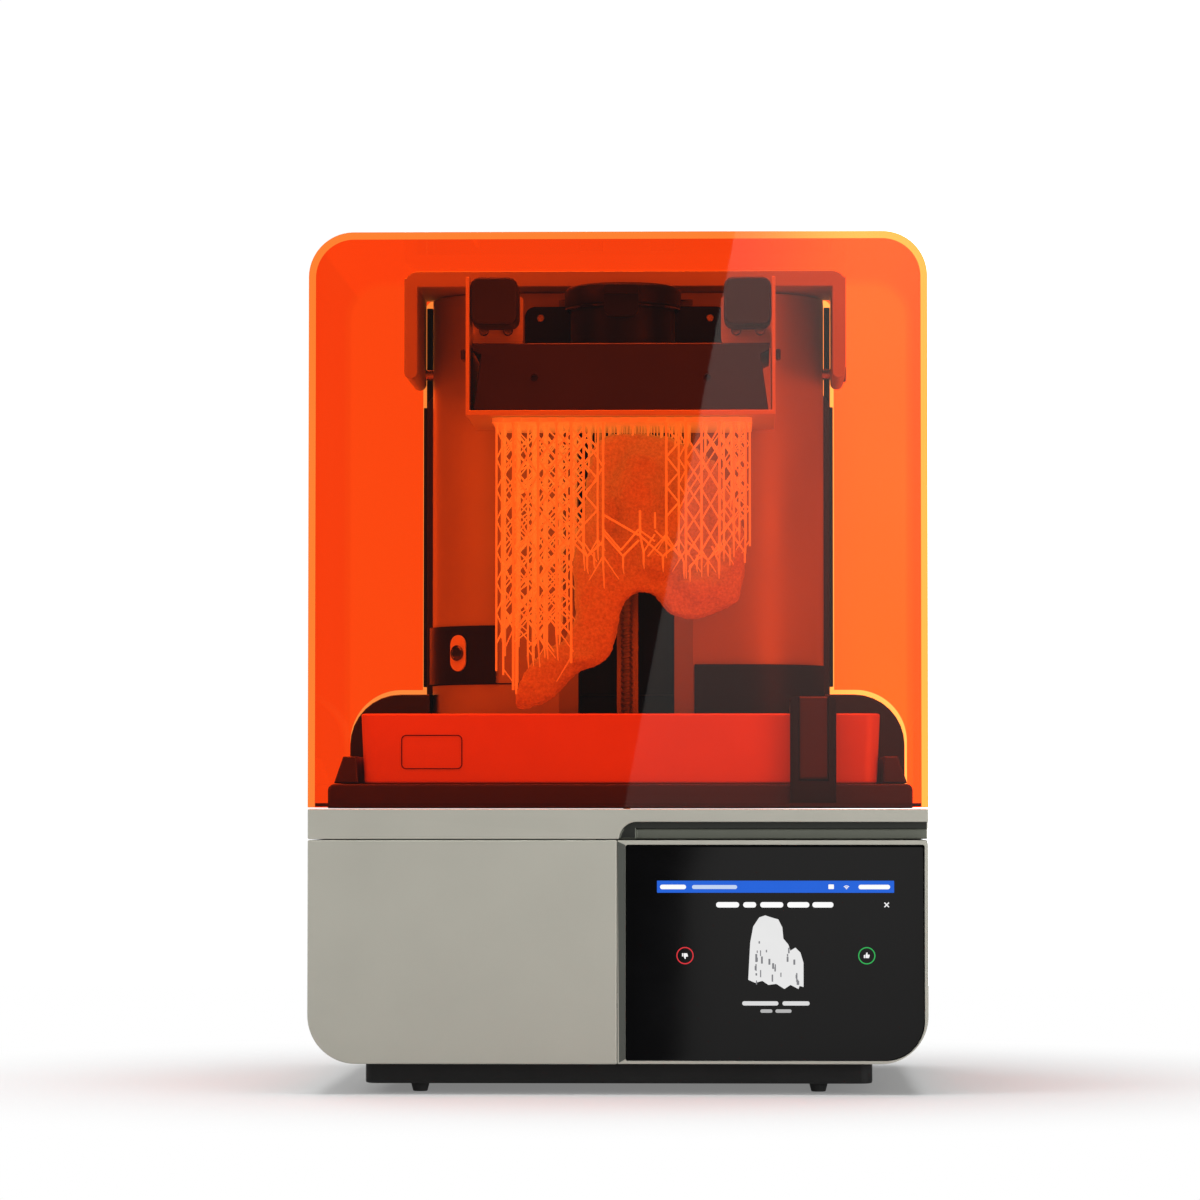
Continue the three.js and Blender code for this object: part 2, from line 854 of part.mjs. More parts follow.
for (const [side, s] of [
  ["left", -1],
  ["right", 1],
]) {
  const lo = (a, b) => (s < 0 ? [-b, -a] : [a, b]);
  const [g0, g1] = lo(68, 99.2);
  piece(`grip_${side}`, prism(rect(g0, 501.5, g1, 533, 6, 3), "y", -110, -72, 1.2), 0x2b2a28, 0.6, 0);
  const [b0, b1] = lo(66, 99.2);
  piece(
    `bracket_${side}`,
    cut(
      union(
        prism(rect(b0, 489.9, b1, 524, s < 0 ? [0, 6, 2, 2] : [6, 0, 2, 2], 3), "y", -71.2, -67.6),
        box(b0 + 3, b1 - 3, -68, -50, 489.9, 493.4),
      ),
      rod(2.2, "y", -80, -60, s * 76, 500, 12),
      rod(2.2, "y", -80, -60, s * 92, 500, 12),
    ),
    0xbfc1c3,
    0.35,
    0.85,
  );
}

// ------------------------------------------- the finished print on the plate
{
  const zOf = (t) => 441.3 - t;
  const body = [
    [-21, 427],
    [0, 435],
    [21, 432],
    [44, 422],
    [64, 403],
    [77, 377],
    [83, 350],
    [83, 330],
    [78, 319],
    [61, 313],
    [51, 309],
    [41, 309],
    [30, 316],
    [21, 325],
    [11, 328],
    [3, 323],
    [-4, 310],
    [-8, 293],
    [-8, 281],
    [-16, 276],
    [-29, 274],
    [-39, 266],
    [-49, 254],
    [-59, 248.6],
    [-74, 248],
    [-74.6, 262],
    [-68, 275],
    [-56, 286],
    [-43, 290],
    [-34, 323],
    [-34, 349],
    [-27, 383],
    [-22, 410],
  ].reverse();
  const legs = [];
  for (const x of [-80, -62, -44])
    for (const y of [-92, -52, -12]) {
      const end = x < -60 ? 268 : x < -50 ? 285 : 300;
      legs.push(box(x - 1.6, x + 1.6, y - 1.6, y + 1.6, end, zOf(1)));
    }
  for (const x of [34, 56, 78])
    for (const y of [-92, -52, -12])
      legs.push(box(x - 1.6, x + 1.6, y - 1.6, y + 1.6, x > 70 ? 330 : 345, zOf(1)));
  const bars = [];
  for (const z of [310, 370]) {
    for (const y of [-92, -52, -12]) {
      bars.push(box(-80, -40, y - 1.2, y + 1.2, z - 1.2, z + 1.2));
      if (z > 330) bars.push(box(30, 80, y - 1.2, y + 1.2, z - 1.2, z + 1.2));
    }
    for (const x of [-80, -62, -44])
      bars.push(box(x - 1.2, x + 1.2, -92, -12, z - 1.2, z + 1.2));
    if (z > 330)
      for (const x of [34, 56, 78])
        bars.push(box(x - 1.2, x + 1.2, -92, -12, z - 1.2, z + 1.2));
  }
  piece(
    "printed_model",
    union(
      prism(rect(-84, -98, 85, -6, 8, 3), "z", zOf(4), zOf(0)),
      prism(body, "y", -68, -34, 3),
      ...legs,
      ...bars,
    ),
    0xe9863a,
    0.45,
    0,
  );
}

// --------------------------------------------------------------------- cover
piece(
  "cover_shell",
  cut(
    prism(rect(-HW, COVER_Z0, HW, HEIGHT, [0, 0, COVER_R, COVER_R], 9), "y", YF, COVER_YB, 1.2),
    prism(
      rect(
        -HW + COVER_T,
        COVER_Z0 - 20,
        HW - COVER_T,
        HEIGHT - COVER_T,
        [0, 0, COVER_R - COVER_T, COVER_R - COVER_T],
        9,
      ),
      "y",
      YF + COVER_T,
      COVER_YB - COVER_T,
    ),
    // the back wall is open over the tower and arched over the rear shoulder
    prism(rect(-144, 200, 144, 541, [0, 0, 12, 12], 4), "y", COVER_YB - 10, COVER_YB + 5),
    prism(rect(-194.8, 150, 194.8, 266, [0, 0, 36, 36], 8), "y", COVER_YB - 10, COVER_YB + 5),
  ),
  0xff7a1e,
  0.08,
  0,
);
piece(
  "hinge_yoke",
  cut(
    union(
      prism(rect(-YOKE_HW, YOKE_Z0, YOKE_HW, HEIGHT - COVER_T - 0.4, 3, 3), "y", YOKE_Y0, 96.7),
      box(-YOKE_HW, -LEG_X, YOKE_Y0, 96.7, 476, YOKE_Z0 + 2),
      box(LEG_X, YOKE_HW, YOKE_Y0, 96.7, 476, YOKE_Z0 + 2),
    ),
    rod(4.3, "x", -160, 160, HINGE_Y, HINGE_Z, 16),
  ),
  0xa8aaac,
  0.45,
  0.4,
);
piece("hinge_pin_left", rod(3.9, "x", -149.5, -132.8, HINGE_Y, HINGE_Z, 16), ...STEEL);
piece("hinge_pin_right", rod(3.9, "x", 132.8, 149.5, HINGE_Y, HINGE_Z, 16), ...STEEL);

export default group;
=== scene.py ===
import json
import math
import random

import bmesh
import bpy
import numpy as np
from mathutils import Matrix, Vector


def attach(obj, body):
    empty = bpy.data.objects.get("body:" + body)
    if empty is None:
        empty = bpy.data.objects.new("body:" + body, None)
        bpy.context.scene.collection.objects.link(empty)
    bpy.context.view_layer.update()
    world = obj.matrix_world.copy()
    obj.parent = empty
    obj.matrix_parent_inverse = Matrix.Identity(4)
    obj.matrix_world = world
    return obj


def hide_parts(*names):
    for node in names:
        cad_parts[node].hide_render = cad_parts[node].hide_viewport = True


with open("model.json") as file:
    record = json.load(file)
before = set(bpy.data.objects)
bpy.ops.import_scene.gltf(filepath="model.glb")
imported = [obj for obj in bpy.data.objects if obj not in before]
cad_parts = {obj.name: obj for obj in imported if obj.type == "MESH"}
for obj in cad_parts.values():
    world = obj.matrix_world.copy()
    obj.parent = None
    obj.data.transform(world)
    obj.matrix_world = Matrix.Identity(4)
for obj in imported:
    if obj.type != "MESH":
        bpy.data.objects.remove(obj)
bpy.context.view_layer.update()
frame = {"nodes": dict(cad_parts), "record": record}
NODES = frame["nodes"]
rnd = random.Random(7)
MM = 0.001
HW = 0.199
YF = -0.1835
YB = 0.1835

# ------------------------------------------------------------------ materials
CACHE = {}


def new_material(name):
    m = bpy.data.materials.new(name)
    m.use_nodes = True
    m.node_tree.nodes.clear()
    return m, m.node_tree.nodes, m.node_tree.links


def surface(
    name,
    base,
    rough=0.5,
    metal=0.0,
    vary=0.12,
    scale=40.0,
    grain=900.0,
    bump=0.08,
    brushed=None,
    coat=0.0,
    emission=None,
    emit=0.0,
    spec=0.5,
    wear=0.0,
):
    """A Principled finish with large soft variation, fine grain in the bump and the roughness, and paler worn edges."""
    if name in CACHE:
        return CACHE[name]
    m, N, L = new_material(name)
    out = N.new("ShaderNodeOutputMaterial")
    b = N.new("ShaderNodeBsdfPrincipled")
    L.new(b.outputs[0], out.inputs[0])
    tc = N.new("ShaderNodeTexCoord")
    mp = N.new("ShaderNodeMapping")
    L.new(tc.outputs["Object"], mp.inputs[0])
    if brushed:
        mp.inputs["Scale"].default_value = brushed
    big = N.new("ShaderNodeTexNoise")
    big.inputs["Scale"].default_value = scale
    big.inputs["Detail"].default_value = 6
    L.new(mp.outputs[0], big.inputs["Vector"])
    fine = N.new("ShaderNodeTexNoise")
    fine.inputs["Scale"].default_value = grain
    fine.inputs["Detail"].default_value = 3
    L.new(mp.outputs[0], fine.inputs["Vector"])
    mixn = N.new("ShaderNodeMath")
    mixn.operation = "MULTIPLY_ADD"
    L.new(fine.outputs["Fac"], mixn.inputs[0])
    mixn.inputs[1].default_value = 0.35
    mulb = N.new("ShaderNodeMath")
    mulb.operation = "MULTIPLY"
    L.new(big.outputs["Fac"], mulb.inputs[0])
    mulb.inputs[1].default_value = 0.65
    L.new(mulb.outputs[0], mixn.inputs[2])
    ramp = N.new("ShaderNodeValToRGB")
    ramp.color_ramp.elements[0].position = 0.3
    ramp.color_ramp.elements[1].position = 0.7
    lo = [max(0.0, c * (1 - vary)) for c in base]
    hi = [min(1.0, c * (1 + vary)) for c in base]
    ramp.color_ramp.elements[0].color = (*lo, 1)
    ramp.color_ramp.elements[1].color = (*hi, 1)
    L.new(mixn.outputs[0], ramp.inputs[0])
    col = ramp.outputs[0]
    if wear:
        geo = N.new("ShaderNodeNewGeometry")
        wr = N.new("ShaderNodeValToRGB")
        wr.color_ramp.elements[0].position = 0.52
        wr.color_ramp.elements[1].position = 0.62
        L.new(geo.outputs["Pointiness"], wr.inputs[0])
        wm = N.new("ShaderNodeMath")
        wm.operation = "MULTIPLY"
        L.new(wr.outputs[0], wm.inputs[0])
        wm.inputs[1].default_value = wear
        wn = N.new("ShaderNodeMath")
        wn.operation = "MULTIPLY"
        L.new(wm.outputs[0], wn.inputs[0])
        L.new(fine.outputs["Fac"], wn.inputs[1])
        mx = N.new("ShaderNodeMix")
        mx.data_type = "RGBA"
        L.new(wn.outputs[0], mx.inputs["Factor"])
        L.new(col, mx.inputs["A"])
        mx.inputs["B"].default_value = (*[min(1, c * 1.6 + 0.12) for c in base], 1)
        col = mx.outputs["Result"]
    L.new(col, b.inputs["Base Color"])
    rr = N.new("ShaderNodeMapRange")
    L.new(mixn.outputs[0], rr.inputs["Value"])
    rr.inputs["From Min"].default_value = 0.3
    rr.inputs["From Max"].default_value = 0.7
    rr.inputs["To Min"].default_value = max(0.02, rough * 0.82)
    rr.inputs["To Max"].default_value = min(1.0, rough * 1.18)
    L.new(rr.outputs[0], b.inputs["Roughness"])
    b.inputs["Metallic"].default_value = metal
    b.inputs["Specular IOR Level"].default_value = spec
    if coat:
        b.inputs["Coat Weight"].default_value = coat
        b.inputs["Coat Roughness"].default_value = 0.06
    if bump:
        bp = N.new("ShaderNodeBump")
        bp.inputs["Strength"].default_value = bump
        bp.inputs["Distance"].default_value = 0.0004
        L.new(mixn.outputs[0], bp.inputs["Height"])
        L.new(bp.outputs[0], b.inputs["Normal"])
    if emission:
        b.inputs["Emission Color"].default_value = (*emission, 1)
        b.inputs["Emission Strength"].default_value = emit
    CACHE[name] = m
    return m


def srgb(h):
    out = []
    for i in (0, 2, 4):
        c = int(h[i : i + 2], 16) / 255
        out.append(c / 12.92 if c <= 0.04045 else ((c + 0.055) / 1.055) ** 2.4)
    return out


M = {
    "champagne": surface("champagne_paint", srgb("A3A196"), 0.38, 0.3, vary=0.035, scale=22, grain=2600, bump=0.07, wear=0.35),
    # a paler, smoother copy of the champagne paint, made as a painted edge highlight; nothing uses it
    "champagne_painted_highlight": surface("champagne_painted_highlight", srgb("D9D8D0"), 0.26, 0.5, vary=0.03, grain=1800, bump=0.03),
    # a darker copy of the champagne paint for the finger scoop: painted shade
    "scoop": surface("scoop_shadow", srgb("6C6F64"), 0.45, 0.3, vary=0.1, grain=1800, bump=0.06),
    "black": surface("black_plastic", (0.014, 0.0135, 0.013), 0.5, vary=0.2, grain=1600, bump=0.22, wear=0.2, spec=0.35),
    "plinth": surface("plinth_coat", (0.006, 0.006, 0.006), 0.6, vary=0.2, grain=1200, bump=0.3, wear=0.12, spec=0.25),
    "gloss": surface("gloss_black", (0.008, 0.008, 0.009), 0.12, vary=0.2, grain=700, bump=0.01, coat=0.6),
    "bezel": surface("bezel_black", (0.012, 0.012, 0.013), 0.28, vary=0.2, grain=1500, bump=0.05, wear=0.2),
    "grey": surface("tower_paint", srgb("B4B4B2"), 0.45, 0.25, vary=0.05, scale=16, grain=1800, bump=0.1, wear=0.3),
    "alu": surface("brushed_aluminium", srgb("C3C4C5"), 0.32, 0.9, vary=0.1, scale=60, grain=500, bump=0.12, brushed=(1, 1, 26), wear=0.3),
    "alu_x": surface("brushed_aluminium_x", srgb("C8C9CA"), 0.3, 0.9, vary=0.1, scale=60, grain=500, bump=0.12, brushed=(1, 26, 26), wear=0.3),
    "steel": surface("ground_steel", srgb("A9ABAD"), 0.22, 1.0, vary=0.12, scale=80, grain=700, bump=0.08, brushed=(20, 20, 1)),
    "brass": surface("machined_brass", srgb("B08C45"), 0.28, 1.0, vary=0.15, scale=90, grain=900, bump=0.08),
    "brown": surface("brown_plastic", srgb("2E1A14"), 0.42, vary=0.18, scale=30, grain=1500, bump=0.18, wear=0.2),
    "hopper": surface("hopper_coat", srgb("221A18"), 0.45, 0.2, vary=0.15, scale=40, grain=1600, bump=0.2, wear=0.25),
    "rubber": surface("foot_rubber", (0.014, 0.014, 0.014), 0.85, vary=0.25, grain=1400, bump=0.4),
    "tank": surface("tank_plastic", srgb("D98A5E"), 0.35, vary=0.06, scale=20, grain=1500, bump=0.05),
    "film": surface("clear_film", srgb("E8E2D0"), 0.12, vary=0.05, grain=800, bump=0.02),
    "board": surface("circuit_board", srgb("1F5A35"), 0.4, vary=0.25, scale=300, grain=900, bump=0.15),
    "white": surface("white_plastic", srgb("DAD9D2"), 0.45, vary=0.04, grain=1500, bump=0.06),
    "dark_grey": surface("machined_dark", srgb("35363A"), 0.4, 0.6, vary=0.12, grain=1200, bump=0.12, wear=0.3),
    "lens": surface("lens_glass", (0.01, 0.01, 0.016), 0.04, vary=0.2, grain=200, bump=0.0, coat=1.0),
}


def cover_material():
    """Tinted clear plastic: a coloured see-through body under a glossy skin."""
    m, N, L = new_material("orange_cover")
    out = N.new("ShaderNodeOutputMaterial")
    tc = N.new("ShaderNodeTexCoord")
    noise_node = N.new("ShaderNodeTexNoise")
    noise_node.inputs["Scale"].default_value = 9
    noise_node.inputs["Detail"].default_value = 3
    L.new(tc.outputs["Object"], noise_node.inputs["Vector"])
    deep = N.new("ShaderNodeValToRGB")
    deep.color_ramp.elements[0].position = 0.35
    deep.color_ramp.elements[1].position = 0.65
    deep.color_ramp.elements[0].color = (1.0, 0.495, 0.19, 1)
    deep.color_ramp.elements[1].color = (1.0, 0.505, 0.21, 1)
    L.new(noise_node.outputs["Fac"], deep.inputs[0])
    lw = N.new("ShaderNodeLayerWeight")
    lw.inputs["Blend"].default_value = 0.12
    edge = N.new("ShaderNodeMix")
    edge.data_type = "RGBA"
    L.new(lw.outputs["Facing"], edge.inputs["Factor"])
    L.new(deep.outputs[0], edge.inputs["A"])
    edge.inputs["B"].default_value = (0.985, 0.36, 0.08, 1)
    tr = N.new("ShaderNodeBsdfTransparent")
    L.new(edge.outputs["Result"], tr.inputs[0])
    gl = N.new("ShaderNodeBsdfGlossy")
    gl.inputs["Color"].default_value = (1.0, 0.98, 0.96, 1)
    rr = N.new("ShaderNodeMapRange")
    L.new(noise_node.outputs["Fac"], rr.inputs["Value"])
    rr.inputs["To Min"].default_value = 0.006
    rr.inputs["To Max"].default_value = 0.014
    L.new(rr.outputs[0], gl.inputs["Roughness"])
    fr = N.new("ShaderNodeFresnel")
    fr.inputs["IOR"].default_value = 1.46
    top = N.new("ShaderNodeMath")
    top.operation = "MINIMUM"
    L.new(fr.outputs[0], top.inputs[0])
    top.inputs[1].default_value = 0.1
    # only the face turned to the eye mirrors, as the thin wall reads as one skin
    geo = N.new("ShaderNodeNewGeometry")
    front = N.new("ShaderNodeMath")
    front.operation = "MULTIPLY_ADD"
    L.new(geo.outputs["Backfacing"], front.inputs[0])
    front.inputs[1].default_value = -0.7
    front.inputs[2].default_value = 0.7
    skin = N.new("ShaderNodeMath")
    skin.operation = "MULTIPLY"
    L.new(top.outputs[0], skin.inputs[0])
    L.new(front.outputs[0], skin.inputs[1])
    mx = N.new("ShaderNodeMixShader")
    L.new(skin.outputs[0], mx.inputs[0])
    L.new(tr.outputs[0], mx.inputs[1])
    L.new(gl.outputs[0], mx.inputs[2])
    L.new(mx.outputs[0], out.inputs[0])
    return m


M["cover"] = cover_material()


def resin_material():
    """Cured resin with the rough, pitted skin of a scanned bone: lumps, pits and the fine steps of the layers."""
    m, N, L = new_material("cured_resin")
    out = N.new("ShaderNodeOutputMaterial")
    b = N.new("ShaderNodeBsdfPrincipled")
    L.new(b.outputs[0], out.inputs[0])
    tc = N.new("ShaderNodeTexCoord")

    def tex(scale, detail, rough):
        n = N.new("ShaderNodeTexNoise")
        n.inputs["Scale"].default_value = scale
        n.inputs["Detail"].default_value = detail
        n.inputs["Roughness"].default_value = rough
        L.new(tc.outputs["Object"], n.inputs["Vector"])
        return n

    lumps, pits = tex(170, 5, 0.6), tex(520, 4, 0.6)
    wave = N.new("ShaderNodeTexWave")
    wave.bands_direction = "Z"
    wave.inputs["Scale"].default_value = 620
    L.new(tc.outputs["Object"], wave.inputs["Vector"])
    ramp = N.new("ShaderNodeValToRGB")
    ramp.color_ramp.elements[0].position = 0.32
    ramp.color_ramp.elements[1].position = 0.66
    ramp.color_ramp.elements[0].color = (*[c * 0.88 for c in srgb("D6D0BB")], 1)
    ramp.color_ramp.elements[1].color = (*srgb("E8E3D2"), 1)
    L.new(pits.outputs["Fac"], ramp.inputs[0])
    L.new(ramp.outputs[0], b.inputs["Base Color"])
    rr = N.new("ShaderNodeMapRange")
    L.new(pits.outputs["Fac"], rr.inputs["Value"])
    rr.inputs["To Min"].default_value = 0.34
    rr.inputs["To Max"].default_value = 0.62
    L.new(rr.outputs[0], b.inputs["Roughness"])
    last = None
    for src, strength, dist in ((lumps, 0.75, 0.0022), (pits, 0.8, 0.0008), (wave, 0.1, 0.0001)):
        bp = N.new("ShaderNodeBump")
        bp.inputs["Strength"].default_value = strength
        bp.inputs["Distance"].default_value = dist
        L.new(src.outputs["Fac"], bp.inputs["Height"])
        if last is not None:
            L.new(last.outputs[0], bp.inputs["Normal"])
        last = bp
    L.new(last.outputs[0], b.inputs["Normal"])
    return m


M["resin"] = resin_material()
# the supports and raft: a paler copy of the cured resin with a faint warm glow, painted light that makes them read
# brighter than the body
M["resin_post"] = surface("resin_support_painted_glow", srgb("FAF7E8"), 0.4, vary=0.05, scale=60, grain=2200, bump=0.1, emission=(1.0, 0.9, 0.7), emit=0.22)


# --------------------------------------------------------------------- meshes
def link(obj):
    bpy.context.scene.collection.objects.link(obj)
    return obj


def mesh_object(name, verts, faces, material):
    me = bpy.data.meshes.new(name)
    me.from_pydata([tuple(v) for v in verts], [], faces)
    me.validate()
    obj = link(bpy.data.objects.new(name, me))
    bm = bmesh.new()
    bm.from_mesh(me)
    bmesh.ops.remove_doubles(bm, verts=bm.verts, dist=1e-6)
    bmesh.ops.recalc_face_normals(bm, faces=bm.faces)
    bm.to_mesh(me)
    bm.free()
    me.materials.append(material)
    return obj


def arc(cx, cy, r, a, b, n):
    return [
        (cx + r * math.cos(math.radians(a + (b - a) * i / n)), cy + r * math.sin(math.radians(a + (b - a) * i / n)))
        for i in range(n + 1)
    ]


def rect(x0, y0, x1, y1, r=0.0, n=10):
    a, b, c, d = r if isinstance(r, (list, tuple)) else (r, r, r, r)
    p = lambda cx, cy, q, s: arc(cx, cy, q, s, s + 90, n) if q > 0 else [(cx, cy)]
    return [
        *p(x0 + a, y0 + a, a, 180),
        *p(x1 - b, y0 + b, b, 270),
        *p(x1 - c, y1 - c, c, 0),
        *p(x0 + d, y1 - d, d, 90),
    ]


def place(axis, u, v, w):
    return {"x": (w, u, v), "y": (u, w, v), "z": (u, v, w)}[axis]


def prism(name, outline, axis, lo, hi, material):
    """A closed prism: the outline in millimetres, pushed from lo to hi along the axis."""
    n = len(outline)
    verts = [place(axis, u * MM, v * MM, lo * MM) for u, v in outline]
    verts += [place(axis, u * MM, v * MM, hi * MM) for u, v in outline]
    faces = [tuple(range(n)), tuple(range(2 * n - 1, n - 1, -1))]
    faces += [(i, (i + 1) % n, n + (i + 1) % n, n + i) for i in range(n)]
    return mesh_object(name, verts, faces, material)


def block(name, x0, x1, y0, y1, z0, z1, material):
    return prism(name, [(x0, y0), (x1, y0), (x1, y1), (x0, y1)], "z", z0, z1, material)


def lathe(name, profile, centre, axis, material, n=48):
    """A closed profile of (radius, height) in millimetres turned about an axis through the centre."""
    verts, faces = [], []
    k = len(profile)
    for i in range(n):
        t = 2 * math.pi * i / n
        for r, h in profile:
            u, v = r * math.cos(t), r * math.sin(t)
            if axis == "z":
                p = (centre[0] + u, centre[1] + v, centre[2] + h)
            elif axis == "x":
                p = (centre[0] + h, centre[1] + u, centre[2] + v)
            else:
                p = (centre[0] + u, centre[1] + h, centre[2] + v)
            verts.append([c * MM for c in p])
    for i in range(n):
        for j in range(k - 1):
            a, b = i * k + j, ((i + 1) % n) * k + j
            faces.append((a, b, b + 1, a + 1))
    return mesh_object(name, verts, faces, material)


def apply_modifiers(obj):
    bpy.context.view_layer.update()
    dg = bpy.context.evaluated_depsgraph_get()
    me = bpy.data.meshes.new_from_object(obj.evaluated_get(dg))
    old = obj.data
    obj.modifiers.clear()
    obj.data = me
    bpy.data.meshes.remove(old)
    return obj


def weigh(obj):
    """Face normals weighted by area, so a large flat face keeps one true normal right up to its softened edge."""
    m = obj.modifiers.new("weigh", "WEIGHTED_NORMAL")
    m.mode = "FACE_AREA"
    m.weight = 50
    m.keep_sharp = True
    return apply_modifiers(obj)


def carve(obj, *tools, op="DIFFERENCE"):
    for t in tools:
        m = obj.modifiers.new("cut", "BOOLEAN")
        m.object = t
        m.operation = op
        m.solver = "EXACT"
    apply_modifiers(obj)
    for t in tools:
        bpy.data.objects.remove(t)
    return obj


def soften(obj, width=0.8, segments=3, angle=32, smooth=40):
    """Breaks the hard edges and shades the curved faces smoothly."""
    bm = bmesh.new()
    bm.from_mesh(obj.data)
    bmesh.ops.remove_doubles(bm, verts=bm.verts, dist=2e-6)
    bmesh.ops.dissolve_limit(bm, angle_limit=math.radians(1.0), verts=bm.verts, edges=bm.edges)
    bm.to_mesh(obj.data)
    bm.free()
    if width:
        m = obj.modifiers.new("bevel", "BEVEL")
        m.width = width * MM
        m.segments = segments
        m.limit_method = "ANGLE"
        m.angle_limit = math.radians(angle)
        m.use_clamp_overlap = True
        m.harden_normals = False
        apply_modifiers(obj)
    obj.data.polygons.foreach_set("use_smooth", [True] * len(obj.data.polygons))
    obj.data.set_sharp_from_angle(angle=math.radians(smooth))
    return weigh(obj)


def join(name, objs):
    """One object from several, keeping each one's material."""
    mats, verts, faces, idx, smooth = [], [], [], [], []
    sharp = []
    base = 0
    for o in objs:
        me = o.data
        remap = []
        for m in me.materials:
            if m not in mats:
                mats.append(m)
            remap.append(mats.index(m))
        verts += [tuple(o.matrix_world @ v.co) for v in me.vertices]
        for p in me.polygons:
            faces.append([base + i for i in p.vertices])
            idx.append(remap[p.material_index] if remap else 0)
            smooth.append(p.use_smooth)
        base += len(me.vertices)
        bpy.data.objects.remove(o)
    me = bpy.data.meshes.new(name)
    me.from_pydata(verts, [], faces)
    for m in mats:
        me.materials.append(m)
    me.polygons.foreach_set("material_index", idx)
    me.polygons.foreach_set("use_smooth", smooth)
    me.update()
    me.set_sharp_from_angle(angle=math.radians(40))
    obj = link(bpy.data.objects.new(name, me))
    return weigh(obj) if len(faces) < 60000 else obj


def body_of(node):
    for b, members in frame["record"]["behaviour"]["bodies"].items():
        if node in members:
            return b


def stands_for(obj, *nodes):
    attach(obj, body_of(nodes[0]))
    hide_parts(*nodes)
    return obj


def rides(obj, body):
    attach(obj, body)
    return obj


done = set()


def from_node(node, material, width=0.6, segments=2, smooth=40, angle=32, name=None):
    """The CAD node's own shape with broken edges, smooth curves and a detailed finish."""
    src = NODES[node]
    obj = link(bpy.data.objects.new(name or node + "_part", src.data.copy()))
    obj.data.materials.clear()
    obj.data.materials.append(material)
    soften(obj, width, segments, angle, smooth)
    stands_for(obj, node)
    done.add(node)
    return obj


# @@BEGIN1@@
# ------------------------------------------------------------------ the print
from mathutils import noise
from mathutils.bvhtree import BVHTree


def organic(obj, voxel, rounds, amount, size):
    """Fuses the overlapping lumps into one skin, smooths it and roughens it."""
    m = obj.modifiers.new("remesh", "REMESH")
    m.mode = "VOXEL"
    m.voxel_size = voxel * MM
    s = obj.modifiers.new("smooth", "SMOOTH")
    s.factor = 0.6
    s.iterations = rounds
    apply_modifiers(obj)
    me = obj.data
    co = np.zeros(len(me.vertices) * 3, np.float32)
    me.vertices.foreach_get("co", co)
    no = np.zeros(len(me.vertices) * 3, np.float32)
    me.vertices.foreach_get("normal", no)
    co, no = co.reshape(-1, 3), no.reshape(-1, 3)
    for i in range(len(co)):
        p = Vector(co[i]) * 1000
        a = noise.fractal(p / size, 0.9, 2.1, 4)
        b = noise.fractal(p / (size * 0.22) + Vector((31, 7, 3)), 0.8, 2.0, 3)
        co[i] += no[i] * (amount * a + amount * 0.42 * b) * MM
    me.vertices.foreach_set("co", co.ravel())
    me.polygons.foreach_set("use_smooth", [True] * len(me.polygons))
    me.update()
    return obj


def ellipsoid(name, c, r, material, tilt=0.0):
    bm = bmesh.new()
    bmesh.ops.create_icosphere(bm, subdivisions=3, radius=1.0)
    me = bpy.data.meshes.new(name)
    mat4 = (
        Matrix.Translation(Vector(c) * MM)
        @ Matrix.Rotation(math.radians(tilt), 4, "Y")
        @ Matrix.Diagonal((r[0] * MM, r[1] * MM, r[2] * MM, 1))
    )
    bm.transform(mat4)
    bm.to_mesh(me)
    bm.free()
    me.materials.append(material)
    return link(bpy.data.objects.new(name, me))


def px(x, y, d=133.0):
    """Millimetres across and up of a point at depth d behind the front."""
    m = 0.641 * (1 + d / 3100)
    return 81.7 + (x - 745) * m, 181.3 + (811 - y) * m


BONE = [
    (592, 440), (612, 431), (640, 429), (668, 436), (694, 444), (714, 458), (728, 476), (738, 500),
    (747, 528), (750, 556), (748, 584), (742, 603), (724, 612), (706, 621), (688, 622), (672, 617),
    (662, 604), (654, 596), (640, 593), (628, 598), (619, 610), (615, 628), (613, 644), (611, 658),
    (598, 668), (583, 671), (571, 680), (558, 692), (548, 704), (534, 711), (514, 712), (511, 698),
    (517, 682), (530, 664), (546, 652), (562, 646), (572, 626), (573, 596), (569, 566), (573, 536),
    (582, 506), (584, 476),
]


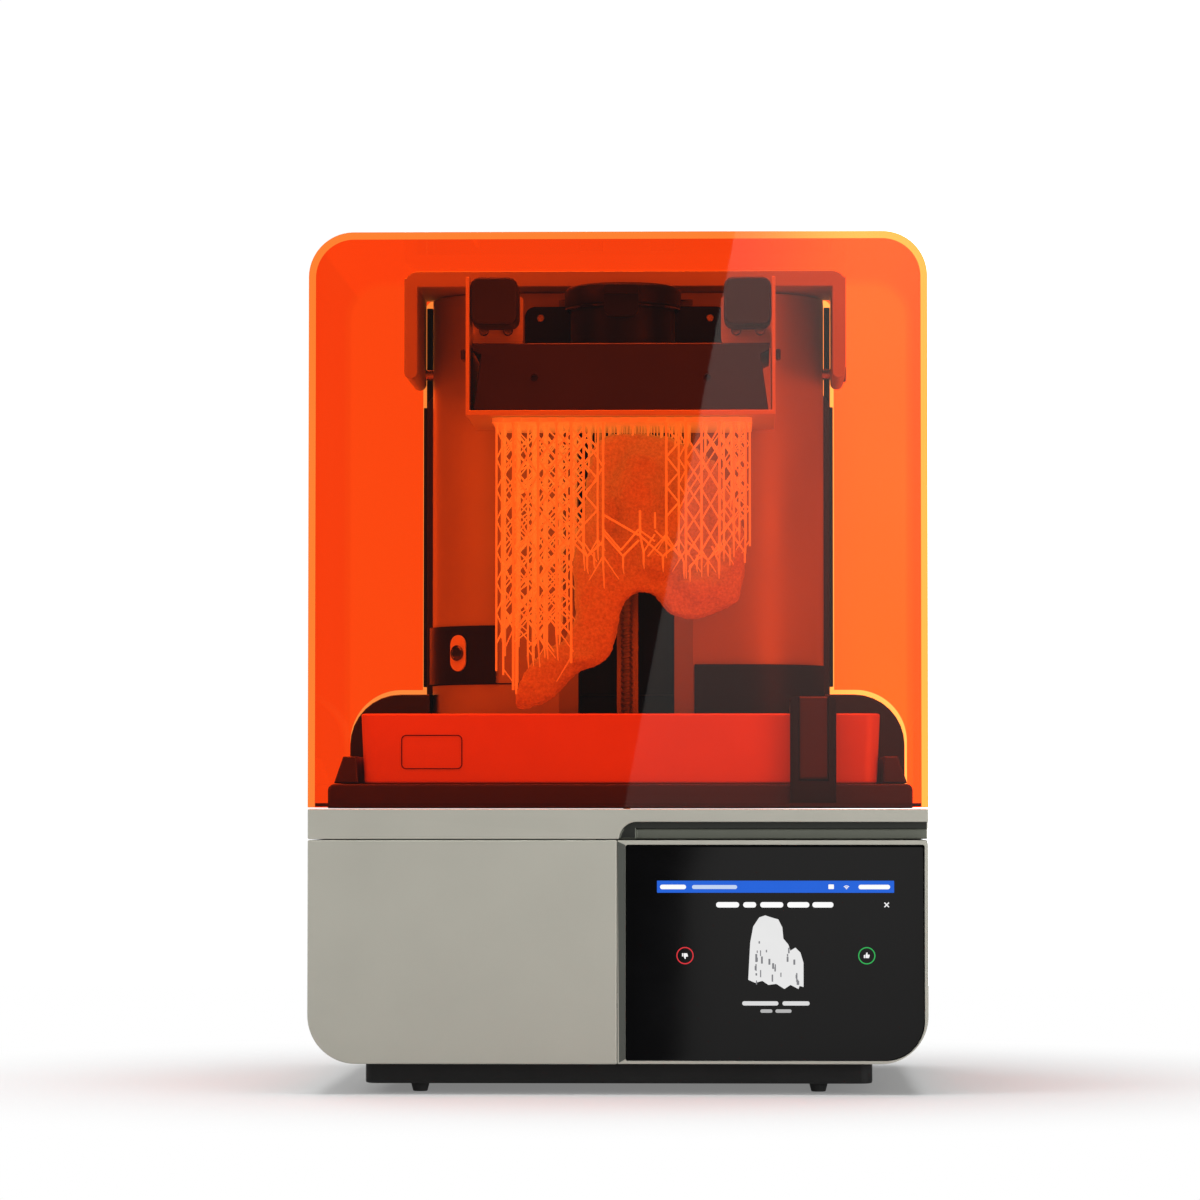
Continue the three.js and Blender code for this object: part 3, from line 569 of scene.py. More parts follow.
def build_print():
    R = M["resin"]
    outline = [px(x, y) for x, y in BONE]
    cx, cy = px(650, 530)
    inner = [(cx + (x - cx) * 0.955, cy + (z - cy) * 0.965) for x, z in outline]
    core = prism("bone", inner, "y", -66, -38, R)
    lumps = []
    for x, y, rx, rz, ry, yy, t in [
        (640, 492, 34, 38, 30, -52, 0), (690, 520, 30, 42, 27, -54, -12), (610, 560, 20, 48, 22, -50, 8),
        (702, 588, 32, 22, 20, -56, 0), (660, 560, 28, 24, 28, -52, 0), (590, 640, 17, 22, 17, -50, 10),
        (548, 684, 20, 12, 15, -50, -30), (524, 702, 9, 8, 11, -52, 0), (610, 452, 20, 13, 18, -48, 0),
        (735, 552, 9, 22, 15, -60, 0), (584, 660, 18, 9, 20, -58, 0), (655, 445, 24, 10, 22, -48, 0),
        (645, 466, 32, 26, 27, -52, 0), (600, 520, 16, 28, 20, -60, 10), (705, 475, 16, 20, 20, -42, 0), (650, 530, 44, 26, 24, -54, 0),
    ]:
        X, Z = px(x, y)
        lumps.append(ellipsoid("lump", (X, yy, Z), (rx * 0.66, ry, rz * 0.66), R, t))
    bone = organic(join("bone_body", [core, *lumps]), 1.3, 60, 1.5, 13.0)
    tree = BVHTree.FromPolygons([v.co for v in bone.data.vertices], [list(p.vertices) for p in bone.data.polygons])

    verts, faces = [], []

    def strut(a, b, r0, r1=None, n=5):
        a, b = Vector(a), Vector(b)
        d = b - a
        if d.length < 0.3:
            return
        r1 = r0 if r1 is None else r1
        w = d.normalized()
        u = w.orthogonal().normalized()
        v = w.cross(u)
        base = len(verts)
        for p, r in ((a, r0), (b, r1)):
            for i in range(n):
                t = 2 * math.pi * i / n
                verts.append((p + (u * math.cos(t) + v * math.sin(t)) * r) * MM)
        for i in range(n):
            j = (i + 1) % n
            faces.append((base + i, base + j, base + n + j, base + n + i))
        faces.append(tuple(base + n - 1 - i for i in range(n)))
        faces.append(tuple(base + n + i for i in range(n)))

    TOP = 438.0

    def at(x, y, depth):
        """Millimetres of a place given as in the front view, on the plane at this Y."""
        m = 0.641 * (1 + (depth + 183.5) / 3100)
        return (81.7 + (x - 745) * m, depth, 181.3 + (811 - y) * m)

    # the towers in front of the body: across, lower end, depth, thickness of the post
    POSTS = [
        (496, 671, -88, 0.75), (503, 675, -80, 0.75), (513, 690, -96, 1.0), (516, 694, -90, 0.75), (527.6, 655, -72, 0.7),
        (537.8, 640, -96, 0.9), (547, 648, -78, 0.7), (556.3, 634, -96, 0.9), (567, 615, -74, 0.75), (571, 663, -95, 0.9),
        (583.4, 548, -91, 0.85), (597.5, 545, -84, 0.7), (603, 562, -95, 0.85),
        (666.3, 541, -95, 0.85), (678.8, 545, -88, 0.75), (686, 555, -96, 0.9), (701.6, 556, -94, 0.85), (719.6, 548, -96, 0.85),
        (724, 545, -84, 0.7), (734, 537, -95, 0.85), (739.6, 532, -82, 0.7), (746, 540, -92, 0.8), (750, 546, -86, 0.8),
    ]
    post = {}
    for x, y, dep, r in POSTS:
        lo = at(x, y, dep)
        hi = (lo[0], lo[1], TOP + 1)
        strut(hi, lo, r)
        strut(hi, (lo[0], lo[1], TOP - 3), 1.9, 0.8, 8)
        post[x] = (lo, r)
        for sx, sz, rise in ((0, -0.55, 0.0), (-0.35, -0.5, 4.0), (0.35, -0.5, 4.0)):
            o = Vector(lo) + Vector((0, 0, rise))
            d = Vector((sx, 1.0, sz)).normalized()
            h = tree.ray_cast(o * MM, d)
            if h[0] is not None and (h[0] / MM - o).length < 40:
                strut(o, h[0] / MM + d * 0.6, 0.8 if not sx else 0.6, 0.35)
    # ties between the posts: pitch in the picture's units, 1 for a zigzag, 2 for crosses
    TIES = [
        (496, 503, 31, 1, 0.6), (503, 513, 44, 1, 0.55), (516, 537.8, 39, 2, 0.7), (513, 527.6, 24, 1, 0.5), (527.6, 547, 27, 2, 0.5),
        (537.8, 556.3, 24, 2, 0.7), (547, 567, 19, 2, 0.55), (556.3, 571, 17, 2, 0.65), (567, 583.4, 22, 2, 0.6), (571, 583.4, 15, 2, 0.6),
        (583.4, 597.5, 31, 1, 0.7), (583.4, 603, 62, 1, 0.65), (666.3, 678.8, 30, 1, 0.7), (678.8, 686, 26, 1, 0.55),
        (686, 701.6, 24, 2, 0.65), (701.6, 719.6, 31, 2, 0.65), (719.6, 734, 21, 2, 0.6), (724, 739.6, 24, 2, 0.5),
        (734, 746, 19, 2, 0.6), (739.6, 750, 22, 1, 0.55), (686, 724, 60, 2, 0.55),
    ]
    for n_t, (xa, xb, pitch, kind, r) in enumerate(TIES):
        (a, _), (b, _) = post[xa], post[xb]
        p = pitch * 0.66
        h = TOP - 3 - (n_t % 3) * 3
        k = 0
        while h - p > max(a[2], b[2]) - 2:
            half = p / 2 if kind == 1 else p
            strut((a[0], a[1], h), (b[0], b[1], h - half), r)
            if kind == 1:
                strut((b[0], b[1], h - half), (a[0], a[1], h - p), r)
            else:
                strut((b[0], b[1], h), (a[0], a[1], h - half), r)
            h -= p
            k += 1
    # loose ties and forked feet across the open middle
    LOOSE = [
        ((603, 514), (639, 535), 0.8), ((603, 533), (623, 556), 0.75), ((603, 529), (621, 550), 0.65), ((621, 550), (639, 529), 0.7),
        ((623, 556), (639, 540), 0.8), ((640, 510), (640, 534), 0.85), ((640, 534), (643.5, 552), 0.75), ((641, 536), (663, 556), 0.7),
        ((643.5, 552), (655, 534), 0.6), ((663, 556), (680, 541), 0.75), ((655, 512), (655, 528), 0.7), ((666.3, 541), (680, 556), 0.75),
        ((648, 556), (668, 532), 0.55), ((583.4, 548), (587, 556), 0.75), ((587, 556), (603, 541), 0.8), ((571, 540), (587, 556), 0.7),
        ((678, 548), (684, 562), 0.7), ((701.6, 556), (690, 566), 0.7), ((686, 540), (708, 560), 0.65), ((708, 560), (719.6, 548), 0.7),
        ((712, 546), (719, 562), 0.65), ((734, 537), (745, 552), 0.7), ((724, 545), (716, 556), 0.6),
    ]
    for (x0, y0), (x1, y1), r in LOOSE:
        strut(at(x0, y0, -95), at(x1, y1, -93), r)
    for x, y in ((587, 556), (594, 552), (623, 556), (643.5, 552), (663, 556), (684, 562), (690, 566), (708, 560), (719, 562), (745, 552), (697, 555), (730, 548)):
        o = Vector(at(x, y, -94))
        strut(o, o + Vector((0, 1.5, -7)), 0.75, 0.65)
        o = o + Vector((0, 1.5, -7))
        h = tree.ray_cast(o * MM, Vector((0, 1, -0.12)).normalized())
        if h[0] is not None and (h[0] / MM - o).length < 45:
            strut(o, h[0] / MM + Vector((0, 0.6, 0)), 0.65, 0.35)
    for x0, x1 in ((587, 603), (655, 666.3), (640, 655)):
        strut(at(x0, 556 if x0 == 587 else 530, -95), at(x1, 541, -95), 0.6)

    # the rows further back stand on the body or reach down beside it
    step_x, step_y = 9.6, 15.0
    count = 18
    columns = {}
    rows = [-64 + step_y * j for j in range(4)]
    for i in range(count):
        x = -80 + step_x * i + rnd.uniform(-1.2, 1.2)
        for j, y in enumerate(rows):
            xx, yy = x, y + rnd.uniform(-1.5, 1.5)
            hit = tree.ray_cast(Vector((xx, yy, TOP)) * MM, Vector((0, 0, -1)))
            if hit[0] is not None:
                z, on = hit[0].z / MM, True
            elif xx < -34:
                z, on = 290 + 0.42 * (xx + 81) + rnd.uniform(-5, 12), False
            elif xx < -16:
                z, on = 318 + rnd.uniform(-10, 30), False
            elif 62 < xx < 84:
                z, on = 352 + rnd.uniform(-6, 12), False
            else:
                continue
            columns[(i, j)] = (xx, yy, z, on)
    for (i, j), (x, y, z, on) in columns.items():
        foot = z + (7 if on and TOP - z > 12 else 0)
        strut((x, y, TOP + 1), (x, y, foot), 0.75)
        if on:
            strut((x, y, foot), (x + rnd.uniform(-0.8, 0.8), y, z - 0.6), 0.75, 0.3)
        strut((x, y, TOP + 1), (x, y, TOP - 3), 1.8, 0.7, 8)
    # short thin props hold the broad top of the body
    for i in range(46):
        for j in range(3):
            x, y = -20 + i * 2.05 + rnd.uniform(-0.5, 0.5), -72 + j * 14 + rnd.uniform(-3, 3)
            hit = tree.ray_cast(Vector((x, y, TOP)) * MM, Vector((0, 0, -1)))
            if hit[0] is not None and TOP - hit[0].z / MM < 13:
                strut((x, y, TOP + 1), (x, y, hit[0].z / MM - 0.4), 0.45, 0.3)
    level = 13.0
    for (i, j), (x, y, z, on) in columns.items():
        for di, dj in ((1, 0), (0, 1)):
            other = columns.get((i + di, j + dj))
            if not other:
                continue
            x2, y2, z2, _ = other
            low = max(z, z2) + 2
            k, h = 0, TOP - 4
            while h - level > low:
                odd = (i + j + k + dj) % 2
                a, b = (x, y, h), (x2, y2, h - level)
                c, d = (x2, y2, h), (x, y, h - level)
                strut(*((c, d) if odd else (a, b)), 0.55)
                if (i + k) % 3 == 0:
                    strut(*((a, b) if odd else (c, d)), 0.5)
                h -= level
                k += 1
    # the supports and raft take the paler, faintly glowing resin copy: painted light
    POST = M["resin_post"]
    lattice = mesh_object("lattice", verts, faces, POST)
    raft = prism("raft", rect(-85.5, -100, 86.5, -4, 9, 6), "z", 438.2, 441.3, POST)
    # the raft's edge has fingers where the print is peeled off
    notches = []
    for s in range(14):
        x = -78 + s * 12
        notches.append(block("n", x, x + 5, -104, -97.6, 430, 450, POST))
    carve(raft, join("n", notches))
    soften(raft, 0.8, 2)
    both = join("printed_part", [bone, lattice, raft])
    both.data.set_sharp_from_angle(angle=math.radians(55))
    stands_for(both, "printed_model")
    done.add("printed_model")
    return both


build_print()
# @@END1@@
# @@BEGIN2@@
def paint(obj, rule, *materials):
    """Gives faces another finish: rule(centre in mm, normal) returns 0 for the first one or the number of the extra one."""
    for m in materials:
        obj.data.materials.append(m)
    for p in obj.data.polygons:
        k = rule(p.center * 1000, p.normal)
        if k:
            p.material_index = k
    return obj


# ------------------------------------------------------------------ the cover
def build_cover():
    C = M["cover"]
    shell = prism("cover_skin", rect(-199, 183.6, 199, 554, [0, 0, 29, 29], 28), "y", -183.5, 101.5, C)
    inner = prism("i", rect(-194.8, 160, 194.8, 549.8, [0, 0, 24.8, 24.8], 28), "y", -179.3, 97.3, C)
    window = prism("w", rect(-144, 200, 144, 541, [0, 0, 12, 12], 12), "y", 90, 110, C)
    arch = prism("a", rect(-194.8, 150, 194.8, 266, [0, 0, 36, 36], 20), "y", 90, 110, C)
    carve(shell, inner, window, arch)
    soften(shell, 1.3, 3, 40, 50)
    stands_for(shell, "cover_shell")
    done.add("cover_shell")
    dark = M["gasket"]
    # a soft strip along the lower edge, where the cover meets the base
    strips = []
    for x0, x1, y0, y1 in [(-194.6, 194.6, -179.1, -177.4), (-194.6, -193.0, -177.2, 60), (193.0, 194.6, -177.2, 60)]:
        strips.append(block("s", x0, x1, y0, y1, 184.2, 186.4, dark))
    s = join("cover_strip", strips)
    rides(s, "cover")


def build_yoke():
    G = M["grey"]
    band = prism("band", rect(-150.5, 538.6, 150.5, 549.4, [0, 0, 9.6, 9.6], 14), "y", 1.5, 96.7, G)
    leg = lambda a, b: prism("leg", rect(a, 476, b, 545, [4.4, 4.4, 0, 0], 8), "y", 1.5, 96.7, G)
    carve(band, leg(-150.5, -141.5), op="UNION")
    carve(band, leg(141.5, 150.5), op="UNION")
    hole = prism("h", arc(88, 486, 4.4, 0, 360, 24)[:-1], "x", -160, 160, G)
    carve(band, hole)
    soften(band, 0.9, 3)
    band.name = "hinge_yoke_part"
    stands_for(band, "hinge_yoke")
    done.add("hinge_yoke")
    caps = []
    for s in (-1, 1):
        for y in (88,):
            pr = [(0, 0), (5.6, 0), (5.6, 1.2), (4.9, 1.8), (2.6, 1.8), (2.0, 0.9), (0, 0.9)]
            c = lathe("cap", [(r, s * h) for r, h in pr], (s * 150.7, y, 486), "x", M["steel"], 32)
            caps.append(c)
    rides(join("hinge_caps", caps), "cover")


# ------------------------------------------------------------ base and screen
def build_base():
    P = M["champagne"]
    h = prism("housing_skin", rect(-199, 19.4, 199, 162.7, [31, 31, 0, 0], 24), "y", -183.5, 183.5, P)
    carve(
        h,
        prism("i", rect(-196, 22.4, 196, 170, [28, 28, 0, 0], 24), "y", -180.5, 180.5, P),
        block("b", -0.4, 205, -190, -165.7, 10, 170, P),
        block("b", -150, 150, 170, 190, 40, 150, P),
    )
    soften(h, 0.9, 3, 30, 45)
    stands_for(h, "lower_housing")
    done.add("lower_housing")

    scoop = [(-0.4, 155), *arc(12.4, 162.9, 11.4, 180, 90, 14), (210, 174.3), (210, 155)]
    r = prism("rim_skin", rect(-199, 163.3, 199, 182.7), "y", -183.5, 183.5, P)
    carve(
        r,
        block("b", -192, 192, -158, 178, 150, 177, P),
        prism("s", scoop, "y", -190, -174.5, P),
        block("b", 11.8, 210, -190, -169.5, 150, 169.8, P),
        block("b", -112, 112, -117, 20, 150, 190, P),
        prism("h", arc(0, 60, 13, 0, 360, 24)[:-1], "z", 150, 190, P),
        block("b", -120, 120, 110, 170, 150, 190, P),
    )
    soften(r, 0.8, 3, 30, 45)

    # the finger scoop under the rim's lip takes painted shade: the faces up under the lip get the deepest shade, the
    # rest a lighter shade
    def rule(c, n):
        if c.y > -182.3 and c.y < -168 and c.x > -1 and c.z < 174.9 and c.z > 163.2 and c.x < 198.4:
            return 1 if c.z > 169.4 and c.y < -173 else 2
        return 0

    paint(r, rule, M["scoop_deep_painted_shade"], M["scoop"])
    stands_for(r, "base_rim")
    done.add("base_rim")

    b = prism("bezel_skin", rect(-0.1, 19.6, 198.8, 162.6, [0, 30.8, 3, 0], 24), "y", -183.4, -166.2, P)
    carve(b, prism("g", rect(5.1, 21.6, 196.5, 159.7, [1.5, 25.3, 1.5, 1.5], 20), "y", -195, -150, P))
    soften(b, 0.45, 2, 30, 45)
    # the recess walls take painted shade, a darker copy of the champagne paint; a thin dark sheet on the front face
    # along the left edge, widening to the top, stands for the shaded slope of that wall
    paint(b, lambda c, n: 1 if abs(n.y) < 0.8 and 4 < c.x < 197 and c.z > 21 and c.z < 160.2 and c.y > -183 else 0, M["recess_painted_shade"])
    slope = prism("slope", [(0.0, 161.8), (0.9, 20.4), (5.0, 22.6), (5.0, 159.6)], "y", -183.5, -183.3, M["recess_painted_shade"])
    b = join("bezel_skin", [b, slope])
    stands_for(b, "screen_bezel")
    done.add("screen_bezel")


TILT = math.tan(0.0785)


def lean(obj, yaw=0.0):
    for v in obj.data.vertices:
        v.co.y += (v.co.z - 0.0219) * TILT + (v.co.x - 0.1008) * yaw
    obj.data.update()
    return obj


YAW = 0.0


def ui(name, outline, colour, strength, lift=0.12, holes=()):
    key = "ui_" + colour + "_" + str(strength).replace(".", "_")
    if key not in CACHE:
        rgb = srgb(colour)
        m, N, L = new_material(key)
        out = N.new("ShaderNodeOutputMaterial")
        tc = N.new("ShaderNodeTexCoord")
        n = N.new("ShaderNodeTexNoise")
        n.inputs["Scale"].default_value = 60
        L.new(tc.outputs["Object"], n.inputs["Vector"])
        r = N.new("ShaderNodeValToRGB")
        r.color_ramp.elements[0].color = (*[c * 0.93 for c in rgb], 1)
        r.color_ramp.elements[1].color = (*rgb, 1)
        L.new(n.outputs["Fac"], r.inputs[0])
        b = N.new("ShaderNodeBsdfPrincipled")
        b.inputs["Base Color"].default_value = (0.01, 0.01, 0.01, 1)
        b.inputs["Roughness"].default_value = 0.3
        b.inputs["Specular IOR Level"].default_value = 0.05
        L.new(r.outputs[0], b.inputs["Emission Color"])
        b.inputs["Emission Strength"].default_value = strength
        L.new(b.outputs[0], out.inputs[0])
        CACHE[key] = m
    return prism(name, outline, "y", -181.9 - lift, -181.75 - lift, CACHE[key])


def spx(x, y):
    """A place on the screen's face, in millimetres across and up, from where it shows in the front view."""
    return 81.7 + (x - 745) * 0.6435, 181.3 + (811 - y) * 0.6435


def bar(x0, x1, y0, y1, colour="FFFFFF", strength=1.0, r=None, lift=0.12):
    a, b = spx(x0, y1), spx(x1, y0)
    rad = (b[1] - a[1]) * 0.48 if r is None else r
    return ui("bar", rect(a[0], a[1], b[0], b[1], rad, 5), colour, strength, lift)


def ring(cx, cy, r, w, colour):
    X, Z = spx(cx, cy)
    o = arc(X, Z, r * 0.6435, 0, 360, 40)
    i = arc(X, Z, (r - w) * 0.6435, 360, 0, 40)
    verts, faces = [], []
    n = 40
    for y in (-182.02, -181.87):
        for u, v in o[:-1] + i[:-1]:
            verts.append((u * MM, y * MM, v * MM))
    for k in range(n):
        a, b = k, (k + 1) % n
        ia, ib = n + (n - k) % n, n + (n - (k + 1)) % n
        faces.append((a, b, ib, ia))
        faces.append((2 * n + a, 2 * n + ia, 2 * n + ib, 2 * n + b))
        faces.append((a, 2 * n + a, 2 * n + b, b))
        faces.append((ia, ib, 2 * n + ib, 2 * n + ia))
    ref = ui("ref", [(0, 0), (1, 0), (1, 1)], colour, 1.0)
    mat_ = ref.data.materials[0]
    bpy.data.objects.remove(ref)
    return mesh_object("ring", verts, faces, mat_)


def build_screen():
    g = prism("touch_glass", rect(5.4, 21.9, 196.2, 159.4, [1.5, 25, 1.5, 1.5], 20), "y", -181.9, -179.9, M["screen"])
    soften(g, 0.35, 2)
    lean(g, YAW)
    stands_for(g, "screen_glass")
    done.add("screen_glass")
    parts = [bar(657, 893.5, 880.5, 892.5, "1A62DC", 1.0, r=0.4)]
    # status bar: two words and three marks, as plain bars
    parts += [bar(660, 686, 884.5, 889, "FFFFFF", 1.0, lift=0.3), bar(692, 737, 884.8, 888.8, "CFE0FF", 0.9, lift=0.3)]
    parts += [bar(828, 833.5, 884.2, 888.8, "FFFFFF", 1.0, r=0.4, lift=0.3), bar(858, 889.5, 884.5, 889, "FFFFFF", 1.0, lift=0.3)]
    for k, rr in enumerate((1.2, 2.6, 4.0)):
        X, Z = spx(846, 889.2)
        o = arc(X, Z, rr * 0.6435, 45, 135, 6) + arc(X, Z, max(0.05, rr - 0.8) * 0.6435, 135, 45, 6)
        parts.append(ui("wave", o, "FFFFFF", 1.0, 0.3))
    # heading and the two caption rows
    for x0, x1 in ((716, 739), (743, 756), (760, 783), (787, 809), (812, 833)):
        parts.append(bar(x0, x1, 901.8, 907.2))
    for x0, x1 in ((742, 778), (782, 809)):
        parts.append(bar(x0, x1, 1000.2, 1004.4, "E8E8E8", 0.9))
    for x0, x1 in ((760, 772), (775, 791)):
        parts.append(bar(x0, x1, 1008.2, 1011.6, "C8C8C8", 0.8))
    # close mark
    X, Z = spx(886, 904.5)
    for sg in (1, -1):
        d, w = 1.45, 0.27
        pts = [(X - d - w, Z - sg * (d - w)), (X - d + w, Z - sg * (d + w)), (X + d + w, Z + sg * (d - w)), (X + d - w, Z + sg * (d + w))]
        parts.append(ui("cross", pts if sg > 0 else pts[::-1], "FFFFFF", 0.9))
    parts += [ring(685, 955, 8.6, 1.1, "E0303A"), ring(866, 955, 8.6, 1.1, "2FB457")]
    for cx, s in ((685, -1), (866, 1)):
        X, Z = spx(cx, 955)
        t = [(-1.9, -1.5), (-1.1, -1.5), (-1.1, 0.5), (-1.9, 0.5)]
        hand = [(-0.8, -1.5), (1.3, -1.5), (1.8, -0.4), (1.9, 0.6), (0.5, 0.7), (0.5, 2.0), (-0.1, 2.1), (-0.8, 0.5)]
        for o in (t, hand):
            pts = [(X + u, Z + s * v) for u, v in o]
            parts.append(ui("thumb", pts if s > 0 else pts[::-1], "FFFFFF", 0.95))
    # the small picture of the print
    pic = [
        (771, 917), (778, 919), (782, 927), (783, 938), (788, 944), (790, 950), (795, 947), (800, 952),
        (803, 962), (803, 986), (799, 985), (798, 988), (790, 984), (784, 988), (776, 983), (768, 984),
        (762, 980), (755, 982), (748, 979), (749, 960), (750, 942), (753, 926), (759, 917), (765, 915),
    ]
    parts.append(ui("picture", [spx(x, y) for x, y in pic][::-1], "F2F2F2", 0.92))
    rnd2 = random.Random(11)
    for k in range(26):
        x = 751 + rnd2.random() * 46
        y = 940 + rnd2.random() * 40
        w = 0.5 + rnd2.random() * 0.5
        h = 2 + rnd2.random() * 8
        parts.append(bar(x, x + w * 2, y, min(984, y + h), "8E8E92", 0.8, r=0.2, lift=0.3))
    face = join("screen_picture", parts)
    lean(face, YAW)
    rides(face, "chassis")


# -------------------------------------------------------------------- chamber
def build_tower():
    t = from_node("tower_housing", M["grey"], 0.9, 3, 40)
    paint(
        t,
        lambda c, n: 1 if (abs(c.x) < 33.6 and c.y > 45.5 and 186 < c.z < 533.5) else 0,
        M["void"],
    )
    cx, cy, R = -76.6, 93.5, 60
    a = -math.pi / 2 - 0.674
    out = Vector((math.cos(a), math.sin(a), 0))
    base = Vector((cx, cy, 290)) + out * (R + 2.3)
    rot = Matrix.Rotation(a + math.pi / 2, 4, "Z")
    plate = prism("plate", rect(-7, -12.5, 7, 12.5, 6.8, 10), "y", -1.3, 0, M["pale_ring"])
    soften(plate, 0.4, 2)
    ringp = lathe("eye", [(0, -1.2), (5.2, -1.2), (5.4, -2.6), (4.4, -3.0), (3.9, -2.3), (0, -2.6)], (0, 0, 0), "y", M["lens"], 40)
    soften(ringp, 0, 1)
    cam_piece = join("camera_eye", [plate, ringp])
    cam_piece.data.transform(Matrix.Translation(base * MM) @ rot)
    stands_for(cam_piece, "camera_lens")
    done.add("camera_lens")
    # a joint line across the front of each column
    lines = []
    for z in (268.2,):
        for s in (1, -1):
            o = [(s * x, y) for x, y in [*arc(76.6, 93.5, 60.25, 270, 358, 20), (136.85, 96), (136.3, 96), *arc(76.6, 93.5, 59.7, 358, 270, 20), (47.5, 33.8), (47.5, 33.25)]]
            lines.append(prism("line", o if s > 0 else o[::-1], "z", z, z + 0.9, M["void"]))
    rides(join("tower_lines", lines), "chassis")
    # dark strips just beyond the back edges of the columns stand for the tower's sides in shade there: painted shade
    side_shade_strips = []
    for x0, x1, z0, z1 in ((-143.4, -137.0, 268, 464), (137.0, 143.4, 268, 464)):
        side_shade_strips.append(block("side_shade_strip", x0, x1, 98.0, 100.4, z0, z1, M["void"]))
    for x0, x1, z0, z1 in ((-141.3, -137.0, 462, 534), (137.0, 141.3, 462, 534)):
        side_shade_strips.append(block("side_shade_strip", x0, x1, 98.2, 100.2, z0, z1, M["void"]))
    q = join("column_side_shade", side_shade_strips)
    soften(q, 0.5, 2)
    rides(q, "chassis")


def build_screw():
    """A trapezoid-thread screw: a ridge wound round the core."""
    verts, faces = [], []
    prof = [(3.05, -2.0), (3.05, -1.25), (4.0, -0.7), (4.0, 0.7), (3.05, 1.25), (3.05, 2.0)]
    n, pitch, z0, z1 = 20, 4.0, 213.0, 513.0
    turns = int((z1 - z0) / pitch)
    k = len(prof)
    for i in range(turns * n + 1):
        t = 2 * math.pi * i / n
        z = z0 + pitch * i / n
        for r, h in prof:
            verts.append((r * math.cos(t) * MM, (60 + r * math.sin(t)) * MM, (z + h) * MM))
    for i in range(turns * n):
        for j in range(k - 1):
            a, b = i * k + j, (i + 1) * k + j
            faces.append((a, b, b + 1, a + 1))
    s = mesh_object("thread", verts, faces, M["screw"])
    core = lathe("core", [(0, 190), (3.3, 190), (3.4, 191), (3.4, 211.5), (3.0, 212), (3.0, 514), (3.4, 515), (3.4, 528.4), (2.8, 529), (0, 529)], (0, 60, 0), "z", M["screw"], 24)
    soften(core, 0, 1)
    s.data.polygons.foreach_set("use_smooth", [True] * len(s.data.polygons))
    stands_for(join("threaded_screw", [s, core]), "lead_screw")
    done.add("lead_screw")


def build_tank():
    t = from_node("resin_tank", M["tank"], 1.4, 3, 45)
    o = rect(-143.1, 208.7, -103.2, 231, 3.2, 8)
    i = rect(-142.6, 209.2, -103.7, 230.5, 2.8, 8)
    n = len(o)
    verts, faces = [], []
    for y in (-123.9, -123.4):
        verts += [(u * MM, y * MM, v * MM) for u, v in o + i]
    for a in range(n):
        b = (a + 1) % n
        faces += [(a, b, n + b, n + a), (2 * n + a, 3 * n + a, 3 * n + b, 2 * n + b), (a, 2 * n + a, 2 * n + b, b), (n + a, n + b, 3 * n + b, 3 * n + a)]
    ln = mesh_object("tank_label_line", verts, faces, M["void"])
    rides(ln, "chassis")


def build_platform():
    A = M["alu_x"]
    screws = []
    for x in (-92, -76, 76, 92):
        pr = [(0, -71.4), (3.3, -71.4), (3.3, -73.2), (2.7, -73.9), (1.3, -73.9), (1.3, -72.7), (0, -72.7)]
        s = lathe("screw", pr, (x, 0, 501), "y", M["steel"], 24)
        soften(s, 0, 1)
        screws.append(s)
    rides(join("bracket_screws", screws), "lift")
    hooks = []
    for s in (-1, 1):
        a, b = sorted((s * 102.2, s * 105.4))
        hooks.append(prism("hook", rect(a, 478.4, b, 485.2, 1.2, 3), "y", -110, -98, M["black"]))
    h = join("side_hooks", hooks)
    soften(h, 0.3, 2)
    rides(h, "lift")
    # a dark plate on the arm, as wide as the dark zone behind the hub: part stands for the arm's own dark bracket, part
    # is painted shade for the shadow the hub casts on the tower there
    plate = prism("plate", rect(-69, 479, 69, 527, 7, 8), "y", 21.0, 23.4, M["deep"])
    soften(plate, 0.6, 2)
    studs = []
    for x in (-58, 58):
        for z in (487, 519):
            pr = [(0, 21.2), (2.6, 21.2), (2.6, 20.0), (2.1, 19.5), (1.0, 19.5), (1.0, 20.2), (0, 20.2)]
            studs.append(lathe("stud", pr, (x, 0, z), "y", M["steel"], 20))
    rides(join("arm_plate_and_shade", [plate, *studs]), "lift")
    hub = from_node("platform_hub", M["deep"], 0.5, 2, 38)
    # a shallow ring in the top of the knob
    ringp = lathe("knob_ring", [(36.6, 515.6), (38.9, 516.6), (38.9, 517.7), (36.6, 517.7), (36.6, 515.6)], (0, -48.5, 0), "z", M["gloss"], 64)
    soften(ringp, 0, 1)
    rides(ringp, "lift")


M["gasket"] = surface("soft_gasket", (0.02, 0.016, 0.014), 0.8, vary=0.2, grain=1500, bump=0.2)
M["void"] = surface("void_black", (0.006, 0.006, 0.006), 0.7, vary=0.3, grain=900, bump=0.1, spec=0.15)
# a still darker copy of the champagne paint for the faces up under the scoop's lip: painted deep shade
M["scoop_deep_painted_shade"] = surface("scoop_deep_painted_shade", srgb("2A2C27"), 0.5, 0.1, vary=0.1, grain=1800, bump=0.06, spec=0.3)
